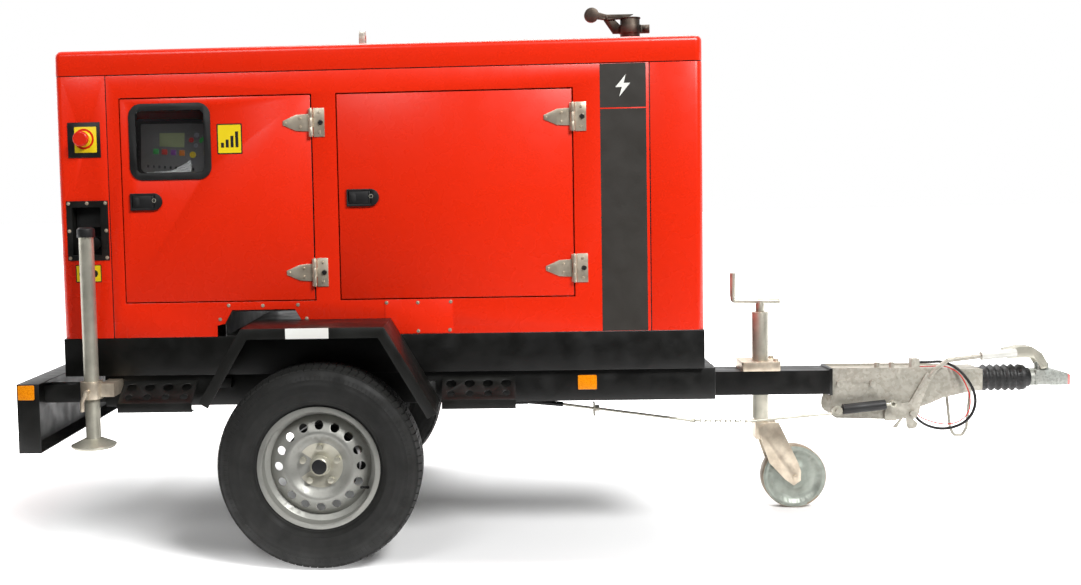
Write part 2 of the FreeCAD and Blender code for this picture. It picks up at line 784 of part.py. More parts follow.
def footstep(x0, x1, top):
    """A perforated tread plate folded down from the chassis rail."""
    inner = -rail_outer
    outline = [(inner, top), (-step_outer, top - 62), (-step_outer, top - 92),
               (-step_outer + 34, top - 92), (-step_outer + 34, top - 89),
               (3 - step_outer, top - 89), (3 - step_outer, top - 64.1), (inner, top - 4)]
    plate = slab_yz(outline, x0, x1)
    tilt = math.atan2(62, step_outer - rail_outer)
    normal = Vector(0, -math.sin(tilt), math.cos(tilt))
    holes = []
    pitch = (x1 - x0) / 4
    for column in range(4):
        x = x0 + pitch * (column + 0.5)
        for share, radius in ((0.3, 17), (0.72, 13)):
            y = inner - share * (step_outer - rail_outer)
            z = top - share * 62
            spot = Vector(x, y, z) - normal * 20
            holes.append(Part.makeCylinder(radius, 40, spot, normal))
    return plate.cut(holes)


def access_steps():
    front = footstep(1262, 1502, 571)
    rear = footstep(195, 442, 571)
    return group(front, rear, mirrored(front), mirrored(rear))


def light_board():
    wall = 3.0
    front = board_rear + board_depth
    outer = block(board_rear, front, -board_half_width, board_half_width, board_bottom, board_top)
    inner = block(board_rear + wall, front + 1, wall - board_half_width,
                  board_half_width - wall, board_bottom + wall, board_top - wall)
    inner_side = rail_outer - rail_width
    shapes = [block(board_rear + wall, rail_rear, y, y + rail_width, 500, 560)
              for y in (-rail_outer, inner_side)]
    board = outer.cut(inner).fuse(shapes)
    lamps = []
    for sign in (-1, 1):
        near, far = sorted((sign * 430, sign * 670))
        lamp = block(rear_end, board_rear, near, far, 450, 550)
        lamps.append(rounded(lamp, 8, X))
    plate_lamp = block(rear_end, board_rear, -60, 60, 560, 590)
    return group(board, plate_lamp, *lamps)


# ---------------------------------------------------------------- clamps, legs, jockey wheel
def leg_clamp():
    bore = leg_radius + clamp_gap
    middle = (leg_clamp_bottom + leg_clamp_top) / 2
    collar = rod((leg_x, -leg_y, leg_clamp_bottom), Z, 36, leg_clamp_top - leg_clamp_bottom)
    arm = block(rail_rear + 15, rail_rear + 62, -leg_y - 12, -rail_outer, middle - 22, middle + 22)
    bridge = block(leg_x + 20, rail_rear + 62, -leg_y - 12, -leg_y + 12, middle - 22, middle + 22)
    screw = rod((leg_x, -leg_y - 35, middle), Vector(0, -1, 0), 7, 26)
    grip = bent_rod([(leg_x, -leg_y - 56, middle - 2), (leg_x - 14, -leg_y - 58, middle - 30),
                     (leg_x - 14, -leg_y - 58, middle - 62)], 7)
    hole = rod((leg_x, -leg_y, leg_clamp_bottom - 5), Z, bore, 70)
    return collar.fuse([arm, bridge]).cut(hole).fuse([screw.cut(hole), grip])


def jockey_clamp():
    bottom = chassis_drawbar_top()
    collar = block(jockey_x - 77, jockey_x + 62, -drawbar_half_width - 4, drawbar_half_width + 4,
                   bottom, bottom + clamp_height)
    bore = rod((jockey_x, 0, bottom - 1), Z, jockey_outer_radius + clamp_gap, clamp_height + 2)
    bolts = [rod((jockey_x + 48, y, bottom + clamp_height - 1), Z, 9, 9) for y in (-40, 40)]
    return rounded(collar, 10, Z).cut(bore).fuse(bolts)


def tube_clamps():
    clamp = leg_clamp()
    return group(clamp, mirrored(clamp), jockey_clamp())


def prop_leg():
    tube = ring((leg_x, -leg_y, leg_foot + 29), Z, leg_radius, leg_radius - 3,
                leg_top - leg_foot - 61)
    cap = turned([(0, 0), (leg_radius + 9, 0), (leg_radius + 9, 22), (leg_radius + 3, 29),
                  (0, 29)],
                 (leg_x, -leg_y, leg_top - 34), Z)
    foot = turned([(0, 0), (0, 66), (6, 73), (10, 73), (30, 30), (30, 0)],
                  (leg_x, -leg_y, leg_foot), Z)
    return tube.fuse([cap, foot])


def jockey_outer_tube():
    tube = ring((jockey_x, 0, jockey_bottom), Z, jockey_outer_radius,
                jockey_inner_radius + running_gap, jockey_top - jockey_bottom - 6)
    lid = rod((jockey_x, 0, jockey_top - 6.5), Z, jockey_outer_radius, 6.5)
    bore = rod((jockey_x, 0, jockey_top - 10), Z, 8 + running_gap, 20)
    return tube.fuse(lid).cut(bore)


def jockey_inner_tube():
    tube = ring((jockey_x, 0, fork_top + body_gap), Z, jockey_inner_radius, 18 + running_gap,
                jockey_top - 40 - fork_top)
    return tube


def jockey_crank():
    hub = rod((jockey_x, 0, jockey_top + body_gap), Z, 15, 30)
    shaft = rod((jockey_x, 0, jockey_top - 30), Z, 8, 34)
    bar = bent_rod([(jockey_x + 71, 0, jockey_top + 38), (jockey_x - 98, 0, jockey_top + 42),
                    (jockey_x - 98, 0, jockey_top + 60)], 8)
    grip = rod((jockey_x - 98, 0, jockey_top + 58), Z, 9.5, 85)
    neck = rod((jockey_x, 0, jockey_top + 28), Z, 12, 14)
    return hub.fuse([shaft, neck, bar, grip])


def jockey_fork():
    wx, wz = jockey_wheel_x, jockey_wheel_radius
    outline = [(jockey_x - 14, 298), (jockey_x + 20, fork_top), (jockey_x + 58, fork_top),
               (jockey_x + 84, 262), (wx + 12, wz + 52), (wx + 21, wz + 22), (wx + 20, wz - 12),
               (wx - 5, wz - 30), (wx - 36, wz - 8), (jockey_x + 24, 170), (jockey_x - 6, 258)]
    plates = [slab_xz(outline, y, y + fork_plate) for y in (-fork_half_gap - fork_plate,
                                                            fork_half_gap)]
    yoke = block(jockey_x - 24, jockey_x + 30, -fork_half_gap, fork_half_gap, 257, fork_top)
    pivot = rod((jockey_x, 0, fork_top - 1), Z, 18, 30)
    axle = rod((wx, -fork_half_gap - fork_plate - 8, wz), Y, 10, 2 * (fork_half_gap + fork_plate + 8))
    return yoke.fuse(plates + [pivot, axle])


def jockey_wheel():
    centre = (jockey_wheel_x, 0, jockey_wheel_radius)
    half = jockey_wheel_width / 2
    bore = 10 + running_gap
    tread = jockey_wheel_radius - 8
    disc = turned([(-half, bore), (-half, 42), (6 - half, 50), (12 - half, 72), (12 - half, 84),
                   (-half, tread - 8), (-half, tread), (half, tread), (half, tread - 8),
                   (half - 12, 84), (half - 12, 72), (half - 6, 50), (half, 42), (half, bore)],
                  centre, Y)
    rubber = turned([(2 - half, tread), (2 - half, tread + 5), (6 - half, tread + 8),
                     (half - 6, tread + 8), (half - 2, tread + 5), (half - 2, tread)], centre, Y)
    return group(disc, rubber)


# ---------------------------------------------------------------- overrun hitch
def overrun_housing():
    half = housing_half_width
    rear = hitch_datum + flange_thickness
    outline = [(rear, 517), (rear, 410), (rear - 6, 397), (rear - 10, 385), (rear - 11, 368),
               (rear - 8, 354), (rear + 1, 343), (rear + 14, 336), (2830, 330), (2885, 340),
               (2902, 331),
               (2944, 333), (2960, 374),
               (2993, 385), (3039, 406), (3104, 420), (housing_front, 437), (housing_front, 506),
               (2957, 515)]
    plates = [slab_xz(outline, y, y + housing_plate) for y in (-half, half - housing_plate)]
    top = block(rear, housing_front - 8, -half, half, 503, 508)
    nose = block(3040, housing_front, -half + housing_plate - 1, half - housing_plate + 1, 430, 506)
    back = block(rear, rear + 8, -half, half, 420, 512)
    flange_bolts = [rod((x, 0, 500), Z, 9, 27) for x in (2822, 2874)]
    side_bolts = [rod((x, -half - 12, 461), Y, 11, 2 * half + 24) for x in (2670, 2788)]
    pivot = rod((lever_pivot[0], lever_y - 12, lever_pivot[1]), Y, 9, 16 - lever_y)
    lever_boss = rod((lever_pivot[0], lever_y + lever_plate / 2 + 0.5, lever_pivot[1]), Y, 16,
                     -half - lever_y - lever_plate / 2 + 1)
    spring_pin = rod((spring_rear_eye[0], -118, spring_rear_eye[1]), Y, 8, 118 - half + 1)
    cable_clip = block(2930, 2958, -50, -16, 506, 545)
    tail_clip = block(2926, 2954, -54, -12, 378, 408)
    bore = rod((3000, 0, shaft_z), X, shaft_radius + running_gap, 200)
    whole = plates[0].fuse([plates[1], top, nose, back, pivot, lever_boss, spring_pin, cable_clip,
                            tail_clip] + flange_bolts + side_bolts)
    stirrup = bent_rod([(3072, 0, 430), (3072, 0, 400), (3084, 0, 285), (3098, 0, 258),
                        (3128, 0, 258), (3143, 0, 285), (3153, 0, 400), (3153, 0, 430)], 5)
    return group(whole.cut(bore), stirrup)


def bellows():
    rear = housing_front
    folds = []
    count = 5
    pitch = (bellows_front - 45 - rear - 12) / count
    for fold in range(count):
        x = 12 + fold * pitch
        folds += [(x, 38), (x + pitch / 2, 48)]
    outer = [(0, 40), (8, 40)] + folds + [(bellows_front - 45 - rear, 36),
                                          (bellows_front - 33 - rear, 47),
                                          (bellows_front - 16 - rear, 44),
                                          (bellows_front - 12 - rear, 34),
                                          (bellows_front - rear, 34)]
    inner = [(x, radius - 6) for x, radius in reversed(outer)]
    return turned(outer + inner, (rear, 0, shaft_z), X)


def coupling_head():
    shaft = rod((3060, 0, shaft_z), X, shaft_radius, 310)
    neck = rod((bellows_front + 2, 0, shaft_z), X, 30, 30)
    top = shaft_z + 28
    body = slab_xy([(3375, -30), (3410, -30), (3432, -38), (3484, -38), (hitch_tip, -22),
                    (hitch_tip, 22), (3484, 38), (3432, 38), (3410, 30), (3375, 30)],
                   shaft_z - 24, top)
    slope = slab_xz([(3446, top + 1), (hitch_tip + 1, top + 1), (hitch_tip + 1, 476), (3488, 483)],
                    -50, 50)
    ball = Part.makeSphere(ball_radius + ball_gap, Vector(ball_x, 0, shaft_z - 12))
    mouth = rod((ball_x, 0, shaft_z - 40), Z, ball_radius + ball_mouth_flare, 28)
    ears = [block(3390, 3424, y, y + 10, top - 1, 520) for y in (-20, 10)]
    bore = rod((3407, -60, 508), Y, 5 + running_gap, 120)
    return body.fuse([shaft, neck] + ears).cut([slope, ball, mouth, bore])


def coupling_handle():
    cheek = [(3417, 521), (3418, 503), (3397, 499), (3381, 527), (3366, 545), (3366, 578),
             (3398, 556)]
    pieces = [slab_xz(cheek, y, y + 5) for y in (-26, 21)]
    grip = slab_xz([(3272, 540), (3272, 571), (3320, 581), (3360, 581), (3372, 575), (3372, 541)],
                   -26, 26)
    pin = rod((3407, -28, 508), Y, 5, 56)
    return rounded(grip, 6, Y).fuse(pieces + [pin])


def handbrake_lever():
    y0 = lever_y - lever_plate / 2
    y1 = lever_y + lever_plate / 2
    plate = slab_xz([(2977, 499), (3003, 486), (2983, 455), (2955, 382), (2950, 352), (2930, 330),
                     (2946, 317), (2940, 300), (2915, 295), (2907, 305), (2905, 335), (2893, 336),
                     (2871, 300), (2858, 303), (2884, 333), (2864, 327), (2829, 327),
                     (2829, 351), (2836, 392), (2852, 404), (2868, 398), (2890, 388),
                     (2916, 392)], y0, y1)
    arm = bent_rod([(2985, lever_y, 480), (3010, lever_y, 512), (3050, lever_y, 542),
                    (3170, lever_y, 556)], 8)
    grip = bent_rod([(3166, lever_y, 556), (3288, lever_y, 566)], 15)
    hole = rod((lever_pivot[0], lever_y - 20, lever_pivot[1]), Y, 9 + running_gap, 40)
    reach = spring_y + spring_rod_radius + body_gap
    pin = rod((spring_front_eye[0], reach, spring_front_eye[1]), Y, 6, y0 - reach + 1)
    return plate.fuse([arm, grip, pin]).cut(hole)


def spring_frame():
    rear = Vector(spring_rear_eye[0], spring_y, spring_rear_eye[1])
    front = Vector(spring_front_eye[0], spring_y, spring_front_eye[1])
    along = (front - rear).normalize()
    return rear, front, along


def gas_spring():
    rear, front, along = spring_frame()
    eye = Part.makeCylinder(14, 10, rear - Y * 5, Y)
    neck = Part.makeCylinder(9, 20, rear + along * 10, along)
    body = Part.makeCylinder(18, 150, rear + along * 24, along)
    body = body.fuse([eye, neck])
    hole = Part.makeCylinder(8 + running_gap, 20, rear - Y * 10, Y)
    bore = Part.makeCylinder(spring_rod_radius + running_gap, 160, rear + along * 60, along)
    return body.cut([hole, bore])


def gas_spring_rod():
    rear, front, along = spring_frame()
    length = (front - rear).Length
    eye = Part.makeCylinder(12, 10, front - Y * 5, Y)
    stem = Part.makeCylinder(spring_rod_radius, length - 80, rear + along * 72, along)
    hole = Part.makeCylinder(6, 20, front - Y * 10, Y)
    return stem.fuse(eye).cut(hole)


def brake_rod():
    y = -100.0
    bracket = block(drawbar_rear, drawbar_rear + 50, y - 12, -drawbar_half_width, 410, 440)
    sheath = bent_rod([(drawbar_rear + 25, y, 421), (1677, y, 406)], 9)
    shift = drawbar_front - hitch_datum
    front = bent_rod([(1670, y, 407), (2140, y, 341), (2338 + shift, y, 336),
                      (2632 + shift, y, 361)], 5)
    plate = block(1785, 1791, y - 20, y + 20, 366, 412)
    nut = rod((1791, y, 391), X, 11, 16)
    eye_at = spring_rear_eye[0] + shift
    eye = ring((eye_at, y - 8, spring_rear_eye[1]), Y, 18, 8, 8)
    return bracket.fuse([sheath, front, plate, nut]).cut(
        rod((eye_at, y - 20, spring_rear_eye[1]), Y, 8, 60)).fuse(eye)


# ---------------------------------------------------------------- cables
hitch_cable_points = [
    (2958, -31, 531), (3000, -31, 531), (3044, -42, 535), (3088, -72, 512), (3118, -90, 468),
    (3138, -96, 420), (3136, -96, 372), (3112, -92, 328), (3068, -84, 302), (3020, -68, 294),
    (2976, -48, 306), (2944, -31, 336), (2944, -31, 378)]
breakaway_cable_points = [
    (2958, -44, 517), (3000, -44, 517), (3046, -50, 521), (3085, -84, 500), (3104, -104, 456),
    (3116, -112, 406), (3108, -112, 358), (3076, -104, 324), (3032, -88, 314), (2988, -62, 322),
    (2944, -47, 342), (2944, -47, 378)]


def cord_tube(points, radius, name):
    path, radii = smooth_path(points)
    solid = swept(path, points, radius)
    ideal = math.pi * radius ** 2 * path.Length
    print(name, "length", round(path.Length), "radii", [round(r) for r in radii],
          "volume ratio", round(solid.Volume / ideal, 4))
    return solid


# ---------------------------------------------------------------- build every node
def build():
    os.makedirs("parts", exist_ok=True)
    save("chassis_frame", chassis_frame())
    save("drawbar", drawbar())
    save("base_frame", base_frame())
    save("fuel_tank", fuel_tank())
    save("roof_cap", roof_cap())
    save("rear_shroud", rear_shroud())
    save("front_shroud", front_shroud())
    save_pair("side_frame", side_frame())
    save("hinge_leaves", hinge_leaves())
    for name in door_spans:
        pan, tray = door(name)
        save("door_" + name + "_left", mirrored(group(pan, tray)))
        if name == "rear":
            pan = pan.cut(window_opening(window_rubber / 2, -side - 5, 10 - side))
        save("door_" + name + "_right", group(pan, tray))
        save_pair("hinge_straps_" + name, hinge_straps(name))
        save_pair("latch_handle_" + name, latch_handle(name))
    save("door_window", door_window())
    save("cable_outlet", cable_outlet())
    save("emergency_stop_button", stop_button())
    save("control_panel", control_panel())
    save("engine", engine())
    save("alternator", alternator())
    save("cooling_fan", cooling_fan())
    save("radiator", radiator())
    save("battery", battery())
    save("exhaust_system", exhaust_system())
    save("rain_cap", rain_cap())
    save("lifting_frame", lifting_frame())
    save("axle_beam", axle_beam())
    save_pair("rim", rim())
    save_pair("tyre", tyre())
    guard = mudguard()
    save("mudguards", group(guard, mirrored(guard)))
    save("access_steps", access_steps())
    save("light_board", light_board())
    save("tube_clamps", tube_clamps())
    save_pair("prop_leg", prop_leg())
    save("jockey_outer_tube", jockey_outer_tube())
    save("jockey_inner_tube", jockey_inner_tube())
    save("jockey_crank", jockey_crank())
    save("jockey_fork", jockey_fork())
    save("jockey_wheel", jockey_wheel())
    save_hitch("overrun_housing", overrun_housing())
    save_hitch("bellows", bellows())
    save_hitch("coupling_head", coupling_head())
    save_hitch("coupling_handle", coupling_handle())
    save_hitch("handbrake_lever", handbrake_lever())
    save_hitch("gas_spring", gas_spring())
    save_hitch("gas_spring_rod", gas_spring_rod())
    save("brake_rod", brake_rod())
    save("hitch_cable", cord_tube(hitch_cable_points, 5, "hitch_cable"))
    save("breakaway_cable", cord_tube(breakaway_cable_points, 2, "breakaway_cable"))


build()
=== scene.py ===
# %% [markdown]
# # A towable diesel generator
# The machine is a sheet-steel canopy on a braked single-axle trailer. Its sizes come from the
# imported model, and this notebook gives every surface its finish and adds the small pieces:
# screws, tread, lenses, chain and cables. Everything is in metres, and +X is the way it is towed.

# %% Load the frame
import bpy
import bmesh
import json
import math
from mathutils import Matrix, Vector


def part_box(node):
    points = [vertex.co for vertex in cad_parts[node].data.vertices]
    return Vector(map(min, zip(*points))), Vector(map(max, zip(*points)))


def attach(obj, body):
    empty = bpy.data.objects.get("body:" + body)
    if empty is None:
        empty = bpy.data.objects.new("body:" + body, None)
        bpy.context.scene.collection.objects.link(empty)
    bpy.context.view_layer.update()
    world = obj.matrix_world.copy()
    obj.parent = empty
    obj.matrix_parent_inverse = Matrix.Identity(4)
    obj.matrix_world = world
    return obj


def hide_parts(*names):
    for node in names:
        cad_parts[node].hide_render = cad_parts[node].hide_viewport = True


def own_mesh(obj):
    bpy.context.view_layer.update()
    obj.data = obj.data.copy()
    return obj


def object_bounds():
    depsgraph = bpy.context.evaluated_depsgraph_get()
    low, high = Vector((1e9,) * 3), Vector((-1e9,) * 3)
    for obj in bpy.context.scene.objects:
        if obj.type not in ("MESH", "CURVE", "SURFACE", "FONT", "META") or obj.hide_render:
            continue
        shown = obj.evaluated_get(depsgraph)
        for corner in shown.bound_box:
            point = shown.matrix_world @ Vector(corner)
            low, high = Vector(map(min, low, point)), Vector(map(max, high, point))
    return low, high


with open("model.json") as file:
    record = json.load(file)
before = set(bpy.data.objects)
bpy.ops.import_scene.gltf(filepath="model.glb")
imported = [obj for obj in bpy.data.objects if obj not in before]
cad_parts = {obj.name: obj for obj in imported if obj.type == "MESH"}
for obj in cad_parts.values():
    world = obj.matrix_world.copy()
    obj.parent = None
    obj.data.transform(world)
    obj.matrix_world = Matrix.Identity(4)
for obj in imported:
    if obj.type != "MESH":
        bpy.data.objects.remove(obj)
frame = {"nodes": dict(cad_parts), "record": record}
nodes = frame["nodes"]
cad_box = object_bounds()
body_of_node = {node: body for body, members in frame["record"]["behaviour"]["bodies"].items()
                for node in members}

# %% [markdown]
# ## Places
# The model's origin is half way along the machine. Lengths here are measured from the canopy's rear
# face instead, so one helper turns those millimetres into this scene's metres.

# %% Places
canopy_low, canopy_high = (Vector(corner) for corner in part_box("roof_cap"))
side = canopy_high.y
right_skin = -side * 1000


def at(x, y, z):
    """A point given in millimetres from the canopy's rear face, the centre plane and the ground."""
    return Vector((canopy_low.x + x / 1000, y / 1000, z / 1000))


print("canopy starts at", round(canopy_low.x, 3), "and is", round(2 * side, 3), "wide")

# %% [markdown]
# ## Camera
# A product photographer stands a little over four metres from the side, with the lens about as high
# as the window, and lets the hitch run out of the middle of the frame. A small shift keeps the
# upright edges where such a picture has them.

# %% Camera
yaw, pitch, roll = (math.radians(angle) for angle in (-2.81, 3.595, 1.19))
ahead = Vector((math.sin(yaw) * math.cos(pitch), math.cos(yaw) * math.cos(pitch), -math.sin(pitch)))
level = Vector((math.cos(yaw), -math.sin(yaw), 0))
below = ahead.cross(level)
right = math.cos(roll) * level + math.sin(roll) * below
down = math.cos(roll) * below - math.sin(roll) * level
camera_data = bpy.data.cameras.new("camera")
camera_data.sensor_width = 36
camera_data.lens = 40.2028
camera_data.shift_x, camera_data.shift_y = 0.0929695, -0.0300648
camera = bpy.data.objects.new("camera", camera_data)
camera.matrix_world = (Matrix.Translation(at(1456.1, -4431, 1207.4))
                       @ Matrix((right, -down, -ahead)).transposed().to_4x4())
bpy.context.scene.collection.objects.link(camera)
bpy.context.scene.camera = camera
print("lens", round(camera_data.lens, 1), "mm")

# %% [markdown]
# ## A node-adding helper
# Every finish below is a node tree. One small function adds a node, sets its options, and fills its
# inputs either with a value or with another node's output. Colours are written as sRGB hex, as
# paint makers give them, and turned to the linear values that a renderer works in.

# %% Helpers for materials
def linear(hexcode):
    """An sRGB hex colour as the linear RGBA that a socket takes."""
    values = [int(hexcode[i:i + 2], 16) / 255 for i in (1, 3, 5)]
    return tuple(v / 12.92 if v <= 0.04045 else ((v + 0.055) / 1.055) ** 2.4 for v in values) + (1,)


def add(tree, kind, inputs=None, stops=None, **settings):
    """Adds one node. inputs: socket identifier or name to value, hex colour or other output."""
    made = tree.nodes.new(kind)
    for key, value in settings.items():
        setattr(made, key, value)
    for key, value in (inputs or {}).items():
        socket = next((s for s in made.inputs if s.identifier == key), None) or made.inputs[key]
        if isinstance(value, bpy.types.NodeSocket):
            tree.links.new(value, socket)
        else:
            socket.default_value = linear(value) if isinstance(value, str) and value[0] == "#" \
                else value
    for i, (place, colour) in enumerate(stops or ()):
        ramp = made.color_ramp.elements
        stop = ramp[i] if i < len(ramp) else ramp.new(place)
        stop.position, stop.color = place, linear(colour)
    return made


def new_material(name, **shader_inputs):
    """A material, its tree, its shader and its Object coordinates."""
    material = bpy.data.materials.new(name)
    material.use_nodes = True
    tree = material.node_tree
    shader = tree.nodes["Principled BSDF"]
    for key, value in shader_inputs.items():
        shader.inputs[key.replace("_", " ")].default_value = value
    where = add(tree, "ShaderNodeTexCoord").outputs["Object"]
    return material, tree, shader, where


def feed(tree, shader, **sources):
    """Links outputs to the shader's inputs, which are named with _ for a space."""
    for key, output in sources.items():
        tree.links.new(output, shader.inputs[key.replace("_", " ")])


print("red primer in linear values:", [round(v, 3) for v in linear("#A03020")])

# %% [markdown]
# ## Floor and light
# The world shines as a white backdrop behind the machine and is dark in front. The floor glows
# white away from the machine, a painted light, and is painted dark in front of it, a painted shade,
# so black paint stays black and red paint stays deep. A high key soft box stands off the towing
# end, a weaker one fills the rear, and a wide one over the roof draws the top edges.

# %% Floor and light
def link(item):
    bpy.context.scene.collection.objects.link(item)
    return item


def mesh_object(name, verts, faces):
    mesh = bpy.data.meshes.new(name)
    mesh.from_pydata([tuple(v) for v in verts], [], faces)
    mesh.update()
    return link(bpy.data.objects.new(name, mesh))


def floor_and_light():
    far = 40
    floor = mesh_object("floor", [(-far, -far, 0), (far, -far, 0), (far, far, 0), (-far, far, 0)],
                        [(0, 1, 2, 3)])
    # Away from the machine the floor glows white, a painted light that burns it out, while near the
    # machine it does not glow and keeps its shadow. In front of the machine the floor is painted
    # dark grey, a painted shade that keeps the reflections in the paint dark.
    material, tree, shader, where = new_material("white floor with painted glow, painted dark in front",
                                                 Roughness=0.7)
    reach = add(tree, "ShaderNodeMapping", {"Vector": where, "Location": (0, -0.3, 0),
                                            "Scale": (0.44, 1.0, 1.0)}).outputs["Vector"]
    reach = add(tree, "ShaderNodeVectorMath", {"Vector": reach}, operation="LENGTH")
    lit = add(tree, "ShaderNodeMapRange", {"Value": reach.outputs["Value"], "From Min": 0.9,
                                           "From Max": 1.25}, interpolation_type="SMOOTHSTEP")
    along = add(tree, "ShaderNodeSeparateXYZ", {"Vector": where}).outputs["Y"]
    # Painted shade: the floor is dark grey in front of the machine and turns white behind it.
    painted_dark_front_fade = add(tree, "ShaderNodeMapRange", {"Value": along, "From Min": -1.6, "From Max": -0.95},
                interpolation_type="SMOOTHSTEP").outputs["Result"]
    blotch = add(tree, "ShaderNodeTexNoise", {"Vector": where, "Scale": 0.8}).outputs["Fac"]
    white = add(tree, "ShaderNodeValToRGB", {"Fac": blotch}, [(0.3, "#F6F6F6"), (0.7, "#F9F9F9")])
    tone = add(tree, "ShaderNodeMix", {"Factor_Float": painted_dark_front_fade, "A_Color": "#383838",
                                       "B_Color": white.outputs["Color"]}, data_type="RGBA")
    shader.inputs["Emission Color"].default_value = linear("#FFFFFF")
    # Painted light: the floor glows white away from the machine, but not where it is painted dark
    # in front.
    painted_glow = add(tree, "ShaderNodeMath", {"Value": lit.outputs["Result"], "Value_001": painted_dark_front_fade},
               operation="MULTIPLY")
    feed(tree, shader, Base_Color=tone.outputs[2], Emission_Strength=painted_glow.outputs["Value"])
    floor.data.materials.append(material)
    world = bpy.data.worlds.new("studio with a lit backdrop")
    world.use_nodes = True
    tree = world.node_tree
    way = add(tree, "ShaderNodeSeparateXYZ",
              {"Vector": add(tree, "ShaderNodeTexCoord").outputs["Generated"]})
    backdrop = add(tree, "ShaderNodeMapRange", {"Value": way.outputs["Y"], "From Min": -0.25,
                                                "From Max": 0.3, "To Min": 0.06, "To Max": 1.0},
                   interpolation_type="SMOOTHSTEP")
    tree.links.new(backdrop.outputs["Result"], tree.nodes["Background"].inputs["Strength"])
    tree.nodes["Background"].inputs["Color"].default_value = linear("#FFFFFF")
    bpy.context.scene.world = world
    for name, place, target, size, power in (
            ("key_softbox", (3.4, -5.4, 6.2), (0.4, 0, 0.9), 2.4, 760),
            ("fill_softbox", (-2.6, -5.6, 5.6), (-0.4, 0, 0.8), 2.4, 135),
            ("roof_softbox", (0.3, 2.0, 4.8), (0, 0, 0.6), 4.0, 260),
            ("rear_softbox", (-5.2, 3.0, 3.0), (0, 0, 0.8), 2.5, 50)):
        data = bpy.data.lights.new(name, "AREA")
        data.shape, data.size, data.energy = "SQUARE", size, power
        lamp = link(bpy.data.objects.new(name, data))
        lamp.location = place
        lamp.rotation_euler = (Vector(target) - Vector(place)).to_track_quat("-Z", "Y").to_euler()


floor_and_light()
bpy.context.scene.view_settings.view_transform = "Standard"

# %% [markdown]
# ## Paint
# The canopy is sprayed with polyester powder and baked. The film is thick and glossy, and it
# freezes with a fine ripple called orange peel, which bends every reflection a little. The chassis
# has a two-pack enamel, duller and dustier. Both are the same tree with other numbers: a slow
# noise shifts the tone, a finer one makes the peel, and a speckle lays road dust on top.

# %% Paint
def coating(name, tone, darker, rough, peel_mm=3.0, peel_depth=0.04, dust=None, metallic=0.0,
            coat=0.0, patch_mm=260):
    """Paint, film, plating or plastic: an uneven tone, an uneven gloss and a fine relief."""
    material, tree, shader, where = new_material(name, Metallic=metallic, Coat_Weight=coat,
                                                 Coat_Roughness=0.08)
    patch = add(tree, "ShaderNodeTexNoise", {"Vector": where, "Scale": 1000 / patch_mm,
                                             "Detail": 4.0}).outputs["Fac"]
    colour = add(tree, "ShaderNodeValToRGB", {"Fac": patch},
                 [(0.35, tone), (0.65, darker)]).outputs["Color"]
    if dust:
        speck = add(tree, "ShaderNodeTexNoise", {"Vector": where, "Scale": 1000 / 9, "Detail": 6.0,
                                                 "Roughness": 0.7}).outputs["Fac"]
        amount = add(tree, "ShaderNodeMapRange", {"Value": speck, "From Min": 0.55,
                                                  "From Max": 0.75, "To Max": 0.35})
        colour = add(tree, "ShaderNodeMix", {"Factor_Float": amount.outputs["Result"],
                                             "A_Color": colour, "B_Color": dust},
                     data_type="RGBA").outputs[2]
    smear = add(tree, "ShaderNodeTexNoise", {"Vector": where, "Scale": 1000 / 60})
    gloss = add(tree, "ShaderNodeMapRange", {"Value": smear.outputs["Fac"], "From Min": 0.3,
                                             "From Max": 0.7, "To Min": rough[0],
                                             "To Max": rough[1]})
    peel = add(tree, "ShaderNodeTexNoise", {"Vector": where, "Scale": 1000 / peel_mm})
    relief = add(tree, "ShaderNodeBump", {"Height": peel.outputs["Fac"],
                                          "Distance": peel_depth / 1000})
    feed(tree, shader, Base_Color=colour, Roughness=gloss.outputs["Result"],
         Normal=relief.outputs["Normal"])
    return material


# Baked powder is thick enough to hide the steel, so its colour is deep and its gloss is even.
canopy_red = coating("orange-red polyester powder coat", "#E62806", "#E42705", (0.26, 0.29),
                     patch_mm=700)
# Two-pack enamel is brushed or sprayed thinner, and the road throws dust at it.
chassis_black = coating("black two-pack enamel", "#060605", "#0B0B09", (0.3, 0.45),
                        dust="#1E1C18")
# Powder over folded sheet: a little duller than the canopy's.
sheet_black = coating("black powder coat", "#0B0B09", "#12120F", (0.35, 0.5), peel_depth=0.06)
# Wheel lacquer holds aluminium flakes, so it is part metal.
rim_silver = coating("silver wheel lacquer", "#9C9C96", "#8B8B86", (0.35, 0.5), metallic=0.45,
                     dust="#6B675F")
# Engine enamel is sprayed over rough castings and goes dull with heat.
engine_paint = coating("grey-blue engine enamel", "#33424F", "#2A3742", (0.35, 0.5), 4.0, 0.15)
machine_paint = coating("dark grey machine enamel", "#2F3133", "#27292A", (0.4, 0.55), 3.0, 0.1)
print(len(bpy.data.materials), "materials so far")

# %% [markdown]
# ## Film
# Stripes, labels and reflectors are vinyl a tenth of a millimetre thick. It follows the steel
# under it, so it keeps a trace of its ripple and is a little duller than the paint.

# %% Film
stripe_film = coating("charcoal cut vinyl", "#34312D", "#2E2B27", (0.4, 0.5), peel_depth=0.02)
yellow_film = coating("yellow printed vinyl", "#F2D715", "#E8CC12", (0.35, 0.45), peel_depth=0.01)
black_film = coating("black printed vinyl", "#141414", "#1A1A1A", (0.4, 0.5), peel_depth=0.01)
white_film = coating("white printed vinyl", "#F1F1EC", "#E6E6E0", (0.35, 0.45), peel_depth=0.01)
print("films made")

# %% [markdown]
# ## Metal
# Bright zinc plating is fine-grained and even, so it is the same tree with the metal turned on.
# Hot-dip galvanising is different: the zinc freezes on the steel into flat crystals, its spangle,
# and each one takes the light a little differently. Voronoi cells give every crystal its own tone.

